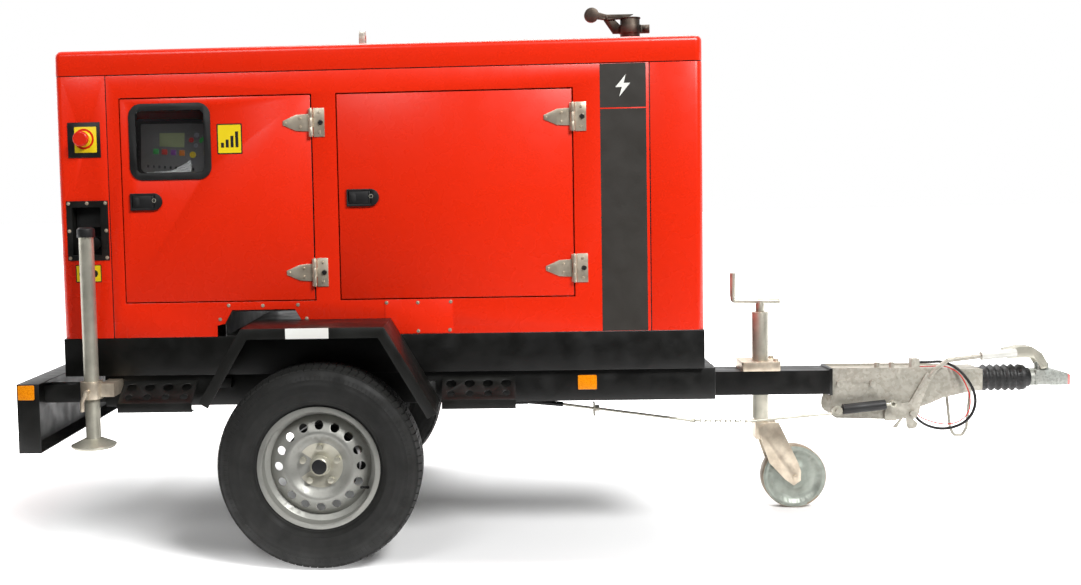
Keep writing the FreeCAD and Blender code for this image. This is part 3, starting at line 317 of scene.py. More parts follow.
# %% Metal
# Zinc passivated in the bath turns slightly warm and clouds where fingers touched it.
zinc = coating("bright zinc plating", "#E6D9C4", "#C4B6A2", (0.3, 0.45), 1.2, 0.02, metallic=0.75,
               patch_mm=40)
# Drawn tube is smoother than stamped sheet, so its plating shines more.
tube_zinc = coating("zinc plated drawn tube", "#C6C3B4", "#AFAC9E", (0.3, 0.42), 1.0, 0.01,
                    metallic=0.6, patch_mm=50)
# Heat turns bare steel brown-grey and eats its shine.
hot_steel = coating("heat-dulled exhaust steel", "#5C544C", "#39342F", (0.4, 0.6), 2.0, 0.08,
                    metallic=1.0, patch_mm=45)
oiled_steel = coating("oiled dark steel", "#3C3C3C", "#262626", (0.3, 0.5), 1.5, 0.05,
                      metallic=1.0, patch_mm=30)


def galvanised(name, tone, darker, crystal_mm):
    material, tree, shader, where = new_material(name, Metallic=0.35)
    crystal = add(tree, "ShaderNodeTexVoronoi", {"Vector": where, "Scale": 1000 / crystal_mm})
    tint = add(tree, "ShaderNodeSeparateColor", {"Color": crystal.outputs["Color"]})
    colour = add(tree, "ShaderNodeValToRGB", {"Fac": tint.outputs["Red"]},
                 [(0.1, darker), (0.9, tone)]).outputs["Color"]
    stain = add(tree, "ShaderNodeTexNoise", {"Vector": where, "Scale": 1000 / 70, "Detail": 5.0})
    amount = add(tree, "ShaderNodeMapRange", {"Value": stain.outputs["Fac"], "From Min": 0.45,
                                              "From Max": 0.75, "To Max": 0.5})
    colour = add(tree, "ShaderNodeMix", {"Factor_Float": amount.outputs["Result"],
                                         "A_Color": colour, "B_Color": "#8F8C81"},
                 data_type="RGBA").outputs[2]
    gloss = add(tree, "ShaderNodeMapRange", {"Value": tint.outputs["Green"], "To Min": 0.36,
                                             "To Max": 0.55})
    grain = add(tree, "ShaderNodeTexNoise", {"Vector": where, "Scale": 1000 / 2.5})
    relief = add(tree, "ShaderNodeBump", {"Height": grain.outputs["Fac"], "Distance": 0.00006})
    feed(tree, shader, Base_Color=colour, Roughness=gloss.outputs["Result"],
         Normal=relief.outputs["Normal"])
    return material


hitch_zinc = galvanised("hot-dip galvanised plate", "#AFABA0", "#9C988C", 10)
cast_zinc = galvanised("galvanised casting", "#A9ACA6", "#8E918B", 6)
print("metals made")

# %% [markdown]
# ## Plastic and rubber
# These are one colour all through. What shows is the texture of the mould, and on rubber the grey
# bloom that it gets outdoors. Lenses are clear plastic over small moulded prisms, which cells of a
# few millimetres stand for.

# %% Plastic and rubber
# Carbon black and bloom: never quite black, and dull.
tyre_rubber = coating("carbon-black tyre rubber", "#0B0B09", "#11110E", (0.6, 0.85), 1.5, 0.1,
                      dust="#1F1E1A", patch_mm=50)
soft_rubber = coating("extruded black rubber", "#111111", "#1B1B1B", (0.4, 0.6), 1.0, 0.03,
                      patch_mm=50)
nylon = coating("glass-filled black nylon", "#121213", "#1A1A1B", (0.35, 0.5), 0.8, 0.03,
                patch_mm=50)
white_nylon = coating("natural white nylon", "#CFCFC9", "#BEBEB7", (0.35, 0.5), 0.8, 0.03,
                      patch_mm=50)
pressed_zinc = coating("zinc plated pressing", "#A7ADA4", "#8C9289", (0.35, 0.5), 1.0, 0.02,
                       metallic=0.6, patch_mm=50)
red_plastic = coating("red moulded ABS", "#DB2A12", "#CF240F", (0.2, 0.3), 2.0, 0.01, patch_mm=50)
tan_tread = coating("cast polyurethane tread", "#A0907A", "#7E6F5C", (0.45, 0.6), 2.0, 0.05,
                    patch_mm=50)
cable_black = coating("black PVC sheath", "#0F0F10", "#191919", (0.35, 0.5), 1.0, 0.01)
cable_red = coating("red PVC sheath", "#C41B16", "#A81410", (0.3, 0.45), 1.0, 0.01)
tank_black = coating("rotomoulded polyethylene", "#1B1B1C", "#242425", (0.5, 0.7), 2.0, 0.1)
foam_grey = coating("open-cell acoustic foam", "#2D2D2F", "#1E1E20", (0.9, 1.0), 4.0, 1.0,
                    patch_mm=30)
fascia_grey = coating("textured grey polycarbonate", "#6E6B6B", "#666363", (0.45, 0.6), 0.8, 0.03)


def lens(name, tone, darker, prism_mm=3.0):
    material, tree, shader, where = new_material(name, Roughness=0.12, Coat_Weight=0.8)
    prism = add(tree, "ShaderNodeTexVoronoi", {"Vector": where, "Scale": 1000 / prism_mm})
    colour = add(tree, "ShaderNodeValToRGB", {"Fac": prism.outputs["Distance"]},
                 [(0.0, tone), (0.8, darker)])
    relief = add(tree, "ShaderNodeBump", {"Height": prism.outputs["Distance"],
                                          "Distance": 0.0004})
    feed(tree, shader, Base_Color=colour.outputs["Color"], Normal=relief.outputs["Normal"])
    return material


amber_lens = lens("amber acrylic reflector", "#FFA20C", "#E07C00")
red_lens = lens("red acrylic lens", "#C8150E", "#8E0A06")
clear_lens = lens("clear acrylic lens", "#E6E6E1", "#BDBDB7")

pane_acrylic, tree, shader, where = new_material("clear acrylic sheet", IOR=1.49,
                                                 Transmission_Weight=1.0)
shader.inputs["Base Color"].default_value = linear("#F4F7F7")
wiped = add(tree, "ShaderNodeTexNoise", {"Vector": where, "Scale": 1000 / 40})
haze = add(tree, "ShaderNodeMapRange", {"Value": wiped.outputs["Fac"], "To Min": 0.01,
                                        "To Max": 0.06})
feed(tree, shader, Roughness=haze.outputs["Result"])
print(len(bpy.data.materials), "materials made")

# %% [markdown]
# ## Mesh helpers
# Three habits make every small piece below: a bmesh is turned into an object whose origin is the
# scene's origin, modifiers are baked into the mesh at once, and a bevel a fraction of a millimetre
# wide takes the razor off each edge, because that is where light shows that a thing is real.

# %% Mesh helpers
def smoothed(item, angle=32):
    """Smooth faces, split where they meet at more than the angle."""
    item.data.shade_smooth()
    item.data.set_sharp_from_angle(angle=math.radians(angle))
    return item


def finish_mesh(bm, name, materials, smooth_angle=32):
    """Turns a bmesh into an object with smooth faces, split at its sharp edges."""
    mesh = bpy.data.meshes.new(name)
    bm.to_mesh(mesh)
    bm.free()
    for material in materials:
        mesh.materials.append(material)
    return smoothed(link(bpy.data.objects.new(name, mesh)), smooth_angle)


def apply_modifiers(item):
    """Bakes an object's modifiers into its mesh."""
    bpy.context.view_layer.update()
    graph = bpy.context.evaluated_depsgraph_get()
    baked = bpy.data.meshes.new_from_object(item.evaluated_get(graph), depsgraph=graph)
    item.modifiers.clear()
    item.data = baked
    return item


def bevelled(item, width_mm, segments=2, angle=28, smooth_angle=32):
    bevel = item.modifiers.new("edges", "BEVEL")
    bevel.width, bevel.segments = width_mm / 1000, segments
    bevel.limit_method, bevel.angle_limit = "ANGLE", math.radians(angle)
    return smoothed(apply_modifiers(item), smooth_angle)


def round_rect(x0, x1, z0, z1, radius, steps=5):
    """A rectangle with round corners, as a list of points."""
    points = []
    for cx, cz, start in ((x1 - radius, z1 - radius, 0), (x0 + radius, z1 - radius, 90),
                          (x0 + radius, z0 + radius, 180), (x1 - radius, z0 + radius, 270)):
        for i in range(steps + 1):
            angle = math.radians(start + 90 * i / steps)
            points.append((cx + radius * math.cos(angle), cz + radius * math.sin(angle)))
    return points


def prism(name, low, high, materials):
    """A solid between two outlines with as many corners each."""
    bm = bmesh.new()
    low, high = ([bm.verts.new(corner) for corner in outline] for outline in (low, high))
    bm.faces.new(low)
    bm.faces.new(high)
    for i in range(len(low)):
        j = (i + 1) % len(low)
        bm.faces.new((low[i], low[j], high[j], high[i]))
    bmesh.ops.recalc_face_normals(bm, faces=bm.faces)
    return finish_mesh(bm, name, materials)


def slab(name, outline, level, thick, material, body, edge_mm=0.3):
    """A flat plate on a side wall: an outline in x and z, from y = level to level + thick."""
    back, front = ([at(x, y, z) for x, z in outline] for y in (level, level + thick))
    piece = prism(name, back, front, [material])
    if edge_mm:
        bevelled(piece, edge_mm)
    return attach(piece, body)


def lathe(name, profile, centre, axis, materials, body, steps=64, pick=None, closed=False):
    """Turns a profile of (along, radius) millimetres round an axis through centre."""
    axis = Vector(axis)
    across = axis.orthogonal().normalized()
    other = axis.cross(across)
    bm = bmesh.new()
    rings = []
    for along, radius in profile:
        if radius < 0.01:
            rings.append([bm.verts.new(centre + axis * along / 1000)] * steps)
            continue
        ring = []
        for i in range(steps):
            angle = 2 * math.pi * i / steps
            ring.append(bm.verts.new(centre + axis * along / 1000 + radius / 1000
                                     * (math.cos(angle) * across + math.sin(angle) * other)))
        rings.append(ring)
    pairs = list(zip(rings, rings[1:])) + ([(rings[-1], rings[0])] if closed else [])
    for number, (low, high) in enumerate(pairs):
        for i in range(steps):
            j = (i + 1) % steps
            corners = list(dict.fromkeys((low[i], low[j], high[j], high[i])))
            if len(corners) > 2:
                bm.faces.new(corners).material_index = pick(number) if pick else 0
    bmesh.ops.recalc_face_normals(bm, faces=bm.faces)
    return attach(finish_mesh(bm, name, materials), body)


print("helpers ready")

# %% [markdown]
# ## Two trees for what repeats
# Screws, rivets, tread blocks, chain links and fins are all one small shape many times over. One
# Geometry Nodes tree sets a fastener on every point of a mesh. The other repeats its own geometry
# so many times, each copy moved by a step and turned by an angle about an axis, which gives rows
# and rings alike. Both end in Realize Instances, so what leaves them is a plain mesh.

# %% Geometry trees
def geometry_tree(name, sockets):
    tree = bpy.data.node_groups.new(name, "GeometryNodeTree")
    tree.interface.new_socket("Geometry", in_out="INPUT", socket_type="NodeSocketGeometry")
    for label, kind, value in sockets:
        socket = tree.interface.new_socket(label, in_out="INPUT", socket_type=kind)
        if value is not None:
            socket.default_value = value
    tree.interface.new_socket("Geometry", in_out="OUTPUT", socket_type="NodeSocketGeometry")
    return tree, add(tree, "NodeGroupInput").outputs


def close_tree(tree, points, instance, rotation, material):
    """Instances, realised and given their material."""
    placed = add(tree, "GeometryNodeInstanceOnPoints", {"Points": points, "Instance": instance,
                                                        "Rotation": rotation})
    solid = add(tree, "GeometryNodeRealizeInstances", {"Geometry": placed.outputs["Instances"]})
    painted = add(tree, "GeometryNodeSetMaterial", {"Geometry": solid.outputs["Geometry"],
                                                    "Material": material})
    add(tree, "NodeGroupOutput", {"Geometry": painted.outputs["Geometry"]})


fastener_tree, given = geometry_tree("fasteners", [
    ("Radius", "NodeSocketFloat", 0.005), ("Height", "NodeSocketFloat", 0.003),
    ("Washer", "NodeSocketFloat", 0.008), ("Sides", "NodeSocketInt", 16),
    ("Facing", "NodeSocketVector", (0, -1, 0)), ("Material", "NodeSocketMaterial", None)])
top = add(fastener_tree, "ShaderNodeMath", {0: given["Radius"], 1: 0.72}, operation="MULTIPLY")
head = add(fastener_tree, "GeometryNodeMeshCone", {
    "Vertices": given["Sides"], "Radius Top": top.outputs[0], "Radius Bottom": given["Radius"],
    "Depth": given["Height"]})
thin = add(fastener_tree, "ShaderNodeMath", {0: given["Height"], 1: 0.3}, operation="MULTIPLY")
washer = add(fastener_tree, "GeometryNodeMeshCone", {
    "Vertices": 20, "Radius Top": given["Washer"], "Radius Bottom": given["Washer"],
    "Depth": thin.outputs[0]})
both = add(fastener_tree, "GeometryNodeJoinGeometry")
fastener_tree.links.new(head.outputs["Mesh"], both.inputs[0])
fastener_tree.links.new(washer.outputs["Mesh"], both.inputs[0])
turned = add(fastener_tree, "FunctionNodeAlignRotationToVector", {"Vector": given["Facing"]},
             axis="Z")
close_tree(fastener_tree, given["Geometry"], both.outputs[0], turned.outputs[0],
           given["Material"])

repeat_tree, given = geometry_tree("repeated shape", [
    ("Count", "NodeSocketInt", 8), ("Start", "NodeSocketVector", (0, 0, 0)),
    ("Step", "NodeSocketVector", (0, 0, 0)), ("Axis", "NodeSocketVector", (0, 1, 0)),
    ("Turn", "NodeSocketFloat", 0.0), ("Material", "NodeSocketMaterial", None)])
index = add(repeat_tree, "GeometryNodeInputIndex").outputs[0]
gone = add(repeat_tree, "ShaderNodeVectorMath", {0: given["Step"], "Scale": index},
           operation="SCALE")
spot = add(repeat_tree, "ShaderNodeVectorMath", {0: gone.outputs[0], 1: given["Start"]},
           operation="ADD")
angle = add(repeat_tree, "ShaderNodeMath", {0: index, 1: given["Turn"]}, operation="MULTIPLY")
spin = add(repeat_tree, "FunctionNodeAxisAngleToRotation", {"Axis": given["Axis"],
                                                           "Angle": angle.outputs[0]})
cloud = add(repeat_tree, "GeometryNodePoints", {"Count": given["Count"],
                                                "Position": spot.outputs[0]})
close_tree(repeat_tree, cloud.outputs[0], given["Geometry"], spin.outputs[0], given["Material"])


def grow(item, tree, body, smooth_angle=32, **values):
    """Runs a tree on an object, bakes the result into its mesh and lets it ride."""
    item.modifiers.new("repeat", "NODES").node_group = tree
    for socket in tree.interface.items_tree:
        if socket.in_out == "INPUT" and socket.name in values:
            item.modifiers[0][socket.identifier] = values[socket.name]
    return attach(smoothed(apply_modifiers(item), smooth_angle), body)


def fasteners(name, places, facing, body, material, radius_mm, height_mm, sides=16, washer_mm=0):
    """Screws, rivets or bolts at places, their heads pointing along facing."""
    return grow(mesh_object(name, places, []), fastener_tree, body, Radius=radius_mm / 1000,
                Height=height_mm / 1000, Washer=max(washer_mm, 0.1) / 1000, Sides=sides,
                Facing=facing, Material=material)


print("trees:", [tree.name for tree in bpy.data.node_groups])

# %% [markdown]
# ## Cables
# Two thin cables leave a clip on top of the hitch, droop in a loop under their own weight and end
# in a clip below it. A cable has no corners, so each one is a single NURBS curve whose
# control points are its route, with a round section. The loops are as loose as they hang.

# %% Cables
def cable(node, route, radius_mm, material):
    curve = bpy.data.curves.new(node + "_run", "CURVE")
    curve.dimensions = "3D"
    curve.bevel_depth, curve.bevel_resolution, curve.use_fill_caps = radius_mm / 1000, 4, True
    curve.resolution_u = 16
    curve.materials.append(material)
    spline = curve.splines.new("NURBS")
    spline.points.add(len(route) - 1)
    for point, place in zip(spline.points, route):
        point.co = (*at(*place), 1)
    spline.order_u = 3
    spline.use_endpoint_u = True
    run = link(bpy.data.objects.new(node + "_run", curve))
    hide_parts(node)
    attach(run, body_of_node[node])


cable("hitch_cable", [(2958, -31, 531), (3000, -31, 531), (3044, -42, 535), (3088, -72, 512),
                      (3118, -90, 468), (3138, -96, 420), (3136, -96, 372), (3112, -92, 328),
                      (3068, -84, 302), (3020, -68, 294), (2976, -48, 306), (2944, -31, 336),
                      (2944, -31, 378)], 5, cable_black)
cable("breakaway_cable", [(2958, -44, 517), (3000, -44, 517), (3046, -50, 521),
                          (3085, -84, 500), (3104, -104, 456), (3116, -112, 406),
                          (3108, -112, 358), (3076, -104, 324), (3032, -88, 314),
                          (2988, -62, 322), (2944, -47, 342), (2944, -47, 378)],
      2, cable_red)
print("cables hung")

# %% [markdown]
# ## Softened edges
# Folded and welded steel has no razor edges: every fold has a radius and every coat of paint
# rounds it further. The CAD parts that show are copied, their triangles are merged back into whole
# faces, and a bevel a millimetre or so wide catches the light along each edge. The copy stands for
# the CAD part and rides on its body. Where two finishes meet in one face, the face is cut there.

# %% Softened copies
def softened(node, materials, pick=None, width_mm=1.2, segments=2, angle=28, smooth_angle=32,
             cuts=(), keep=None):
    """Stands a bevelled copy in for a CAD node; pick(centre, normal) gives a face its material."""
    bm = bmesh.new()
    bm.from_mesh(nodes[node].data)
    bmesh.ops.remove_doubles(bm, verts=bm.verts, dist=0.00001)
    bmesh.ops.dissolve_limit(bm, angle_limit=math.radians(0.6), verts=bm.verts, edges=bm.edges)
    for place, normal in cuts:
        bmesh.ops.bisect_plane(bm, geom=bm.verts[:] + bm.edges[:] + bm.faces[:], plane_co=place,
                               plane_no=normal, dist=0.000001)
    if keep:
        lost = [face for face in bm.faces if not keep(face.calc_center_median())]
        bmesh.ops.delete(bm, geom=lost, context="FACES")
    for face in bm.faces:
        face.material_index = pick(face.calc_center_median(), face.normal) if pick else 0
    piece = finish_mesh(bm, node + "_finished", materials, smooth_angle)
    if width_mm:
        bevelled(piece, width_mm, segments, angle, smooth_angle)
    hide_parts(node)
    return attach(piece, body_of_node[node])


X, Y, Z = Vector((1, 0, 0)), Vector((0, 1, 0)), Vector((0, 0, 1))
seams = (at(169.5, 0, 0).x, at(1950, 0, 0).x)
skin_inside = side - 0.0014


def skin_plate_or_seam_shade(centre, normal):
    """Red outside; in a seam, or under the roof's edge, black rubber: a painted shade on the red
    edges that sit in the dark gap.
    """
    if centre.y < -side - 0.0001:
        return 1
    in_seam_shade = min(abs(centre.x - seam) for seam in seams) < 0.03 or centre.z > 1.5835
    return 2 * int(in_seam_shade and side - 0.03 < abs(centre.y) < skin_inside)


# The roof's lower edge, in the seam, is black rubber: a painted shade on red steel that sits in the
# dark gap.
softened("roof_cap", [canopy_red, soft_rubber], width_mm=1.5,
         pick=lambda centre, normal: int(centre.z < 1.5875))
for node in ("side_frame_left", "side_frame_right", "front_shroud", "rear_shroud"):
    softened(node, [canopy_red, nylon, soft_rubber], width_mm=1.5, pick=skin_plate_or_seam_shade)

# %% [markdown]
# ## Doors, hinges and latches
# Each door is a folded pan. Its latch tray is a black moulding let into the red, so its faces are
# told apart by where they are. Strap hinges are stamped and zinc plated.

# %% Doors, hinges and latches
door_spans = {"rear": (217, 848), "front": (935, 1699)}
hinge_heights = (926, 1417)
hands = {"right": -1, "left": 1}


def in_latch_tray(x0):
    low, high = at(x0 - 0.5, 0, 1140.5), at(x0 + 106.5, 0, 1197.5)
    return lambda centre, normal: int(low.x < centre.x < high.x and low.z < centre.z < high.z)


for end, (x0, x1) in door_spans.items():
    for hand in hands:
        tray = in_latch_tray(x0 + 26)
        # Faces inside the skin take the grey foam: on the door's inside it is the real acoustic
        # lining, and on the door's folded edges it is a painted shade where the red edge sits in
        # the dark gap.
        softened(f"door_{end}_{hand}", [canopy_red, nylon, foam_grey],
                 pick=lambda centre, normal: 1 if tray(centre, normal)
                 else 2 * int(abs(centre.y) < skin_inside))
        softened(f"latch_handle_{end}_{hand}", [nylon], width_mm=0.8)
        softened(f"hinge_straps_{end}_{hand}", [zinc], width_mm=0.6)
softened("hinge_leaves", [zinc], width_mm=0.6)
print("four doors finished")

# %% [markdown]
# ## Chassis, hitch and running gear
# Heavy sections have rounder edges than thin plate. Lamps, grips, caps and treads belong to the
# same CAD parts as their carriers, so they are picked out by their place too.

# %% Chassis, hitch and running gear
rear_end = cad_box[0][0]


def lamp_or_board(centre, normal):
    if centre.x > rear_end + 0.0075:
        return 0
    if abs(centre.y) < 0.1:
        return 3
    return 1 if abs(centre.y) > 0.51 else 2


softened("light_board", [sheet_black, red_lens, amber_lens, clear_lens], pick=lamp_or_board,
         cuts=[(Vector((0, y, 0)), Y) for y in (-0.51, 0.51)], width_mm=0.8)
strip = (at(790, 0, 0), at(925, 0, 0))
softened("mudguards", [sheet_black, white_film], width_mm=0.8, cuts=[(end, X) for end in strip],
         pick=lambda centre, normal: int(strip[0].x < centre.x < strip[1].x and centre.z > 0.739
                                         and abs(normal.y) > 0.9 and abs(centre.y) > 0.741))
cap_bottom = 1.058
for node in ("prop_leg_left", "prop_leg_right"):
    softened(node, [tube_zinc, nylon], width_mm=0.8, cuts=[(Vector((0, 0, cap_bottom)), Z)],
             pick=lambda centre, normal: int(centre.z > cap_bottom + 0.001))
softened("handbrake_lever", [hitch_zinc, white_nylon], width_mm=0.8,
         pick=lambda centre, normal: int(centre.x > at(3166, 0, 0).x))
softened("coupling_head", [cast_zinc, red_plastic], width_mm=0.8,
         pick=lambda centre, normal: int(centre.x > at(3488, 0, 0).x and normal.x > 0.5))
for material, width_mm, names in (
        (chassis_black, 2.0, "chassis_frame drawbar base_frame"),
        (sheet_black, 0.8, "access_steps cable_outlet control_panel"),
        (zinc, 0.8, "tube_clamps jockey_inner_tube jockey_fork"),
        (tube_zinc, 0.8, "jockey_outer_tube jockey_crank coupling_handle"),
        (tube_zinc, 0.4, "gas_spring_rod"), (soft_rubber, 0.6, "gas_spring"),
        (hitch_zinc, 2.0, "axle_beam"), (hitch_zinc, 0.8, "overrun_housing lifting_frame"),
        (hot_steel, 0.6, "rain_cap"), (red_plastic, 0, "emergency_stop_button"),
        (hot_steel, 1.5, "exhaust_system"), (engine_paint, 1.5, "engine"),
        (machine_paint, 1.5, "alternator"), (nylon, 1.5, "battery cooling_fan"),
        (sheet_black, 1.5, "radiator"), (tank_black, 1.5, "fuel_tank")):
    for node in names.split():
        softened(node, [material], width_mm=width_mm)


# %% [markdown]
# ## Wheels
# A road tyre is a moulded torus: two sidewalls with a raised rib that guards the rim, and a crown
# cut by grooves into rows of blocks. The carcass is turned on a lathe, and the tread blocks are one
# short row repeated round the wheel by the tree. Blocks stop a hair inside the tyre's radius.

# %% Tyres
tyre_low, tyre_high = (Vector(corner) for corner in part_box("tyre_right"))
wheel = (tyre_low + tyre_high) / 2
tyre_radius = (tyre_high.z - tyre_low.z) / 2 * 1000
tyre_half = (tyre_high.y - tyre_low.y) / 2 * 1000
crown = tyre_radius - 7.5
outer_wall = [(48, 182.4), (62, 182.4), (62.1, 198), (65, 202.5), (72, 205), (79, 209.5),
              (85, 217), (86.5, 217.6), (87.5, 221), (90, 232), (91.2, 243), (92.3, 246),
              (92.3, 250), (91.8, 254), (92.2, 262), (91.8, 272), (90.6, 274), (90.2, 284),
              (88.5, 286), (86.5, 294), (83, 301), (77, crown - 8), (70, crown - 3),
              (58, crown)]
inner_wall = [(36, crown - 7), (62, crown - 14), (76, 285), (80, 255), (66, 216), (48, 200)]


def block_row(name, centre):
    """Five tread blocks side by side, the middle ones slanted, the outer ones over the shoulder."""
    bm = bmesh.new()
    top, low = tyre_radius - 0.15, crown - 1
    for left, right, slant in ((-77, -49, 4), (-43, -18, -6), (-12, 12, 6), (18, 43, -6),
                               (49, 77, 4)):
        corners = []
        for y, shift in ((left, -slant / 2), (right, slant / 2)):
            drop = 9 if abs(y) > 70 else 0
            for x in (-11.5, 11.5):
                turn = (x + shift) / tyre_radius
                for radius, inset in ((low - drop, 0), (top - drop, 1.2)):
                    along = turn * (1 - inset / 12)
                    corners.append(bm.verts.new(centre + Vector((
                        radius * math.sin(along), y * (1 - inset / 80),
                        radius * math.cos(along))) / 1000))
        a, b, c, d, e, f, g, h = corners
        for face in ((b, d, h, f), (a, c, d, b), (e, f, h, g), (a, b, f, e), (c, g, h, d),
                     (a, e, g, c)):
            bm.faces.new(face)
    bmesh.ops.recalc_face_normals(bm, faces=bm.faces)
    return finish_mesh(bm, name, [])


def shoulder_rib(name, hand):
    """One short raised bar on the sidewall below the shoulder."""
    low, high = ([Vector((x, hand * (y + lift), z)) / 1000 for x, y, z in
                  ((-half, 84.5, 297), (half, 84.5, 297), (half, 89.6, 279), (-half, 89.6, 279))]
                 for half, lift in ((2.2, 0), (1.4, 1.7)))
    return prism(name, low, high, [])


for hand, sign in hands.items():
    centre = Vector((wheel.x, sign * abs(wheel.y), wheel.z))
    wall = [(-t, r) for t, r in outer_wall] + [(0, crown + 0.2)] + outer_wall[::-1]
    lining = inner_wall[::-1] + [(0, crown - 7)] + [(-t, r) for t, r in inner_wall]
    carcass = lathe(f"tyre_{hand}_carcass", wall + lining, centre, Y, [tyre_rubber],
                    f"wheel_{hand}", steps=120, closed=True)
    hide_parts(f"tyre_{hand}")
    grow(block_row(f"tyre_{hand}_tread", Vector()), repeat_tree, f"wheel_{hand}", Count=84,
         Start=centre, Axis=(0, 1, 0), Turn=2 * math.pi / 84, Material=tyre_rubber)
    for face, way in (("outer", sign), ("inner", -sign)):
        grow(shoulder_rib(f"tyre_{hand}_{face}_ribs", way), repeat_tree, f"wheel_{hand}",
             Count=120, Start=centre, Axis=(0, 1, 0), Turn=2 * math.pi / 120,
             Material=tyre_rubber)
print("tyre radius", round(tyre_radius, 1), "mm, width", round(2 * tyre_half, 1), "mm")

# %% [markdown]
# The rim is one pressing with its hub: the lacquered disc, the bare brake drum behind it, plated
# bolts, and a dust cap in a bright ring. A face's distance from the axle tells which it is.

# %% Rims
flange_out, drum_out, hub_out, cap_out = 51, 18, 21, 49
hub_reach, cap_reach, drum_reach, bolt_circle = 33, 22, 123, (45, 69)


def rim_finish(centre, normal):
    """0 for lacquer, 1 for the drum, 2 for plating, 3 for the dust cap."""
    reach = math.hypot(centre.x - wheel.x, centre.z - wheel.z) * 1000
    out = (abs(centre.y) - abs(wheel.y)) * 1000
    if out > flange_out:
        return 0
    if reach < hub_reach and out > hub_out:
        return 3 if reach < cap_reach and out > cap_out else 2
    if bolt_circle[0] < reach < bolt_circle[1] and out > 24.5:
        return 2
    return 1 if reach < drum_reach and out < drum_out and not (96 < reach and out > 0) else 0


for hand, sign in hands.items():
    softened(f"rim_{hand}", [rim_silver, oiled_steel, tube_zinc, nylon], pick=rim_finish,
             width_mm=0.5, angle=40, smooth_angle=40)
    lathe(f"tyre_valve_{hand}", [(-4, 0), (-4, 5), (10, 4.2), (11, 3.4), (26, 3.4), (27, 4.4),
                                 (34, 4.4), (36, 3), (36, 0)],
          Vector((wheel.x, sign * abs(wheel.y), wheel.z)) + Vector((0.147, sign * 0.02, -0.073)),
          Vector((-0.44, sign * 0.87, 0.22)).normalized(), [soft_rubber], f"wheel_{hand}", 20)
print("rims finished")

# %% [markdown]
# ## Jockey wheel, bellows and brake linkage
# The jockey wheel is a stamped disc with a thin cast tread. The bellows is soft rubber and gets a
# mesh of its own. The brake pull is a rod, then a length of chain, then a rod again: links
# alternate by a quarter turn, which is the tree's Turn.

# %% Jockey wheel, bellows and brake linkage
roller_low, roller_high = (Vector(corner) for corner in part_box("jockey_wheel"))
roller = (roller_low + roller_high) / 2
tread_start = (roller_high.z - roller_low.z) / 2 - 0.0078
softened("jockey_wheel", [pressed_zinc, tan_tread], width_mm=0.5, angle=40, smooth_angle=40,
         pick=lambda centre, normal: int(math.hypot(centre.x - roller.x, centre.z - roller.z)
                                         > tread_start))
folds = softened("bellows", [soft_rubber], width_mm=0, smooth_angle=60)
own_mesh(folds)
link_start, link_end = at(2140, -100, 341), at(2338, -100, 336)
sheath_end, chain_start, chain_end = (at(x, 0, 0) for x in (1679, 2146, 2332))


def chain_link(name, length_mm, wire_mm, width_mm):
    """An oval link of round wire, lying along X about the origin."""
    bm = bmesh.new()
    straight = (length_mm - width_mm) / 2
    rings = []
    for i in range(20):
        angle = 2 * math.pi * i / 20
        radius = (width_mm - wire_mm) / 2
        bend = Vector((math.cos(angle) * radius + math.copysign(straight, math.cos(angle)), 0,
                       math.sin(angle) * radius))
        out = Vector((math.cos(angle), 0, math.sin(angle)))
        rings.append([bm.verts.new((bend + wire_mm / 2 * (math.cos(turn) * out
                                                          + math.sin(turn) * Y)) / 1000)
                      for turn in (2 * math.pi * k / 8 for k in range(8))])
    for i in range(20):
        for k in range(8):
            j, m = (i + 1) % 20, (k + 1) % 8
            bm.faces.new((rings[i][k], rings[j][k], rings[j][m], rings[i][m]))
    bmesh.ops.recalc_face_normals(bm, faces=bm.faces)
    return finish_mesh(bm, name, [])


softened("brake_rod", [tube_zinc, soft_rubber], width_mm=0,
         cuts=[(chain_start, X), (chain_end, X)],
         keep=lambda centre: not chain_start.x < centre.x < chain_end.x,
         pick=lambda centre, normal: int(centre.x < sheath_end.x))
pitch = (link_end - link_start) / 11
grow(chain_link("brake_chain", 25, 4.2, 14), repeat_tree, "trailer", Count=12,
     Start=link_start, Step=pitch, Axis=(1, 0, 0), Turn=math.pi / 2, Material=tube_zinc)

# %% [markdown]
# ## Window and instrument panel
# The pane is clear acrylic in a black rubber profile. Behind it, set back in the shade, is the
# controller: a grey membrane with a small display, round keys for start, stop and mode, and a row
# of square ones. Its pictograms are plain ticks.

# %% Window and instrument panel
window_low, window_high = (Vector(corner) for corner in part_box("door_window"))
rubber_width = 0.0231
softened("door_window", [soft_rubber, pane_acrylic], width_mm=0.8, smooth_angle=40,
         pick=lambda centre, normal: int(
             window_low.x + rubber_width < centre.x < window_high.x - rubber_width
             and window_low.z + rubber_width < centre.z < window_high.z - rubber_width
             and (abs(normal.y) > 0.9 or centre.y > -side + 0.0001 and centre.y < -side + 0.0029)
             and -side - 0.0012 < centre.y < -side + 0.0032))
panel_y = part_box("control_panel")[0][1] * 1000
slab("panel_fascia", round_rect(271, 471, 1265, 1421, 6), panel_y, -2.5, fascia_grey, "trailer")
display = coating("backlit liquid-crystal display", "#A3AB84", "#939B75", (0.15, 0.25),
                  peel_depth=0.0)
slab("panel_display", round_rect(325, 397, 1354, 1394, 2), panel_y - 2.5, -0.5, display,
     "trailer", 0.1)
key_paint = {tone: coating(f"{tone} silicone key", *shades, (0.3, 0.45), peel_depth=0.01)
             for tone, shades in {"green": ("#2FA046", "#288F3D"), "red": ("#C9261B", "#B52016"),
                                  "purple": ("#7F4290", "#703A80"),
                                  "orange": ("#DB761C", "#C96A17"),
                                  "yellow": ("#EBC91F", "#DDBB18"),
                                  "grey": ("#8E9093", "#828487")}.items()}
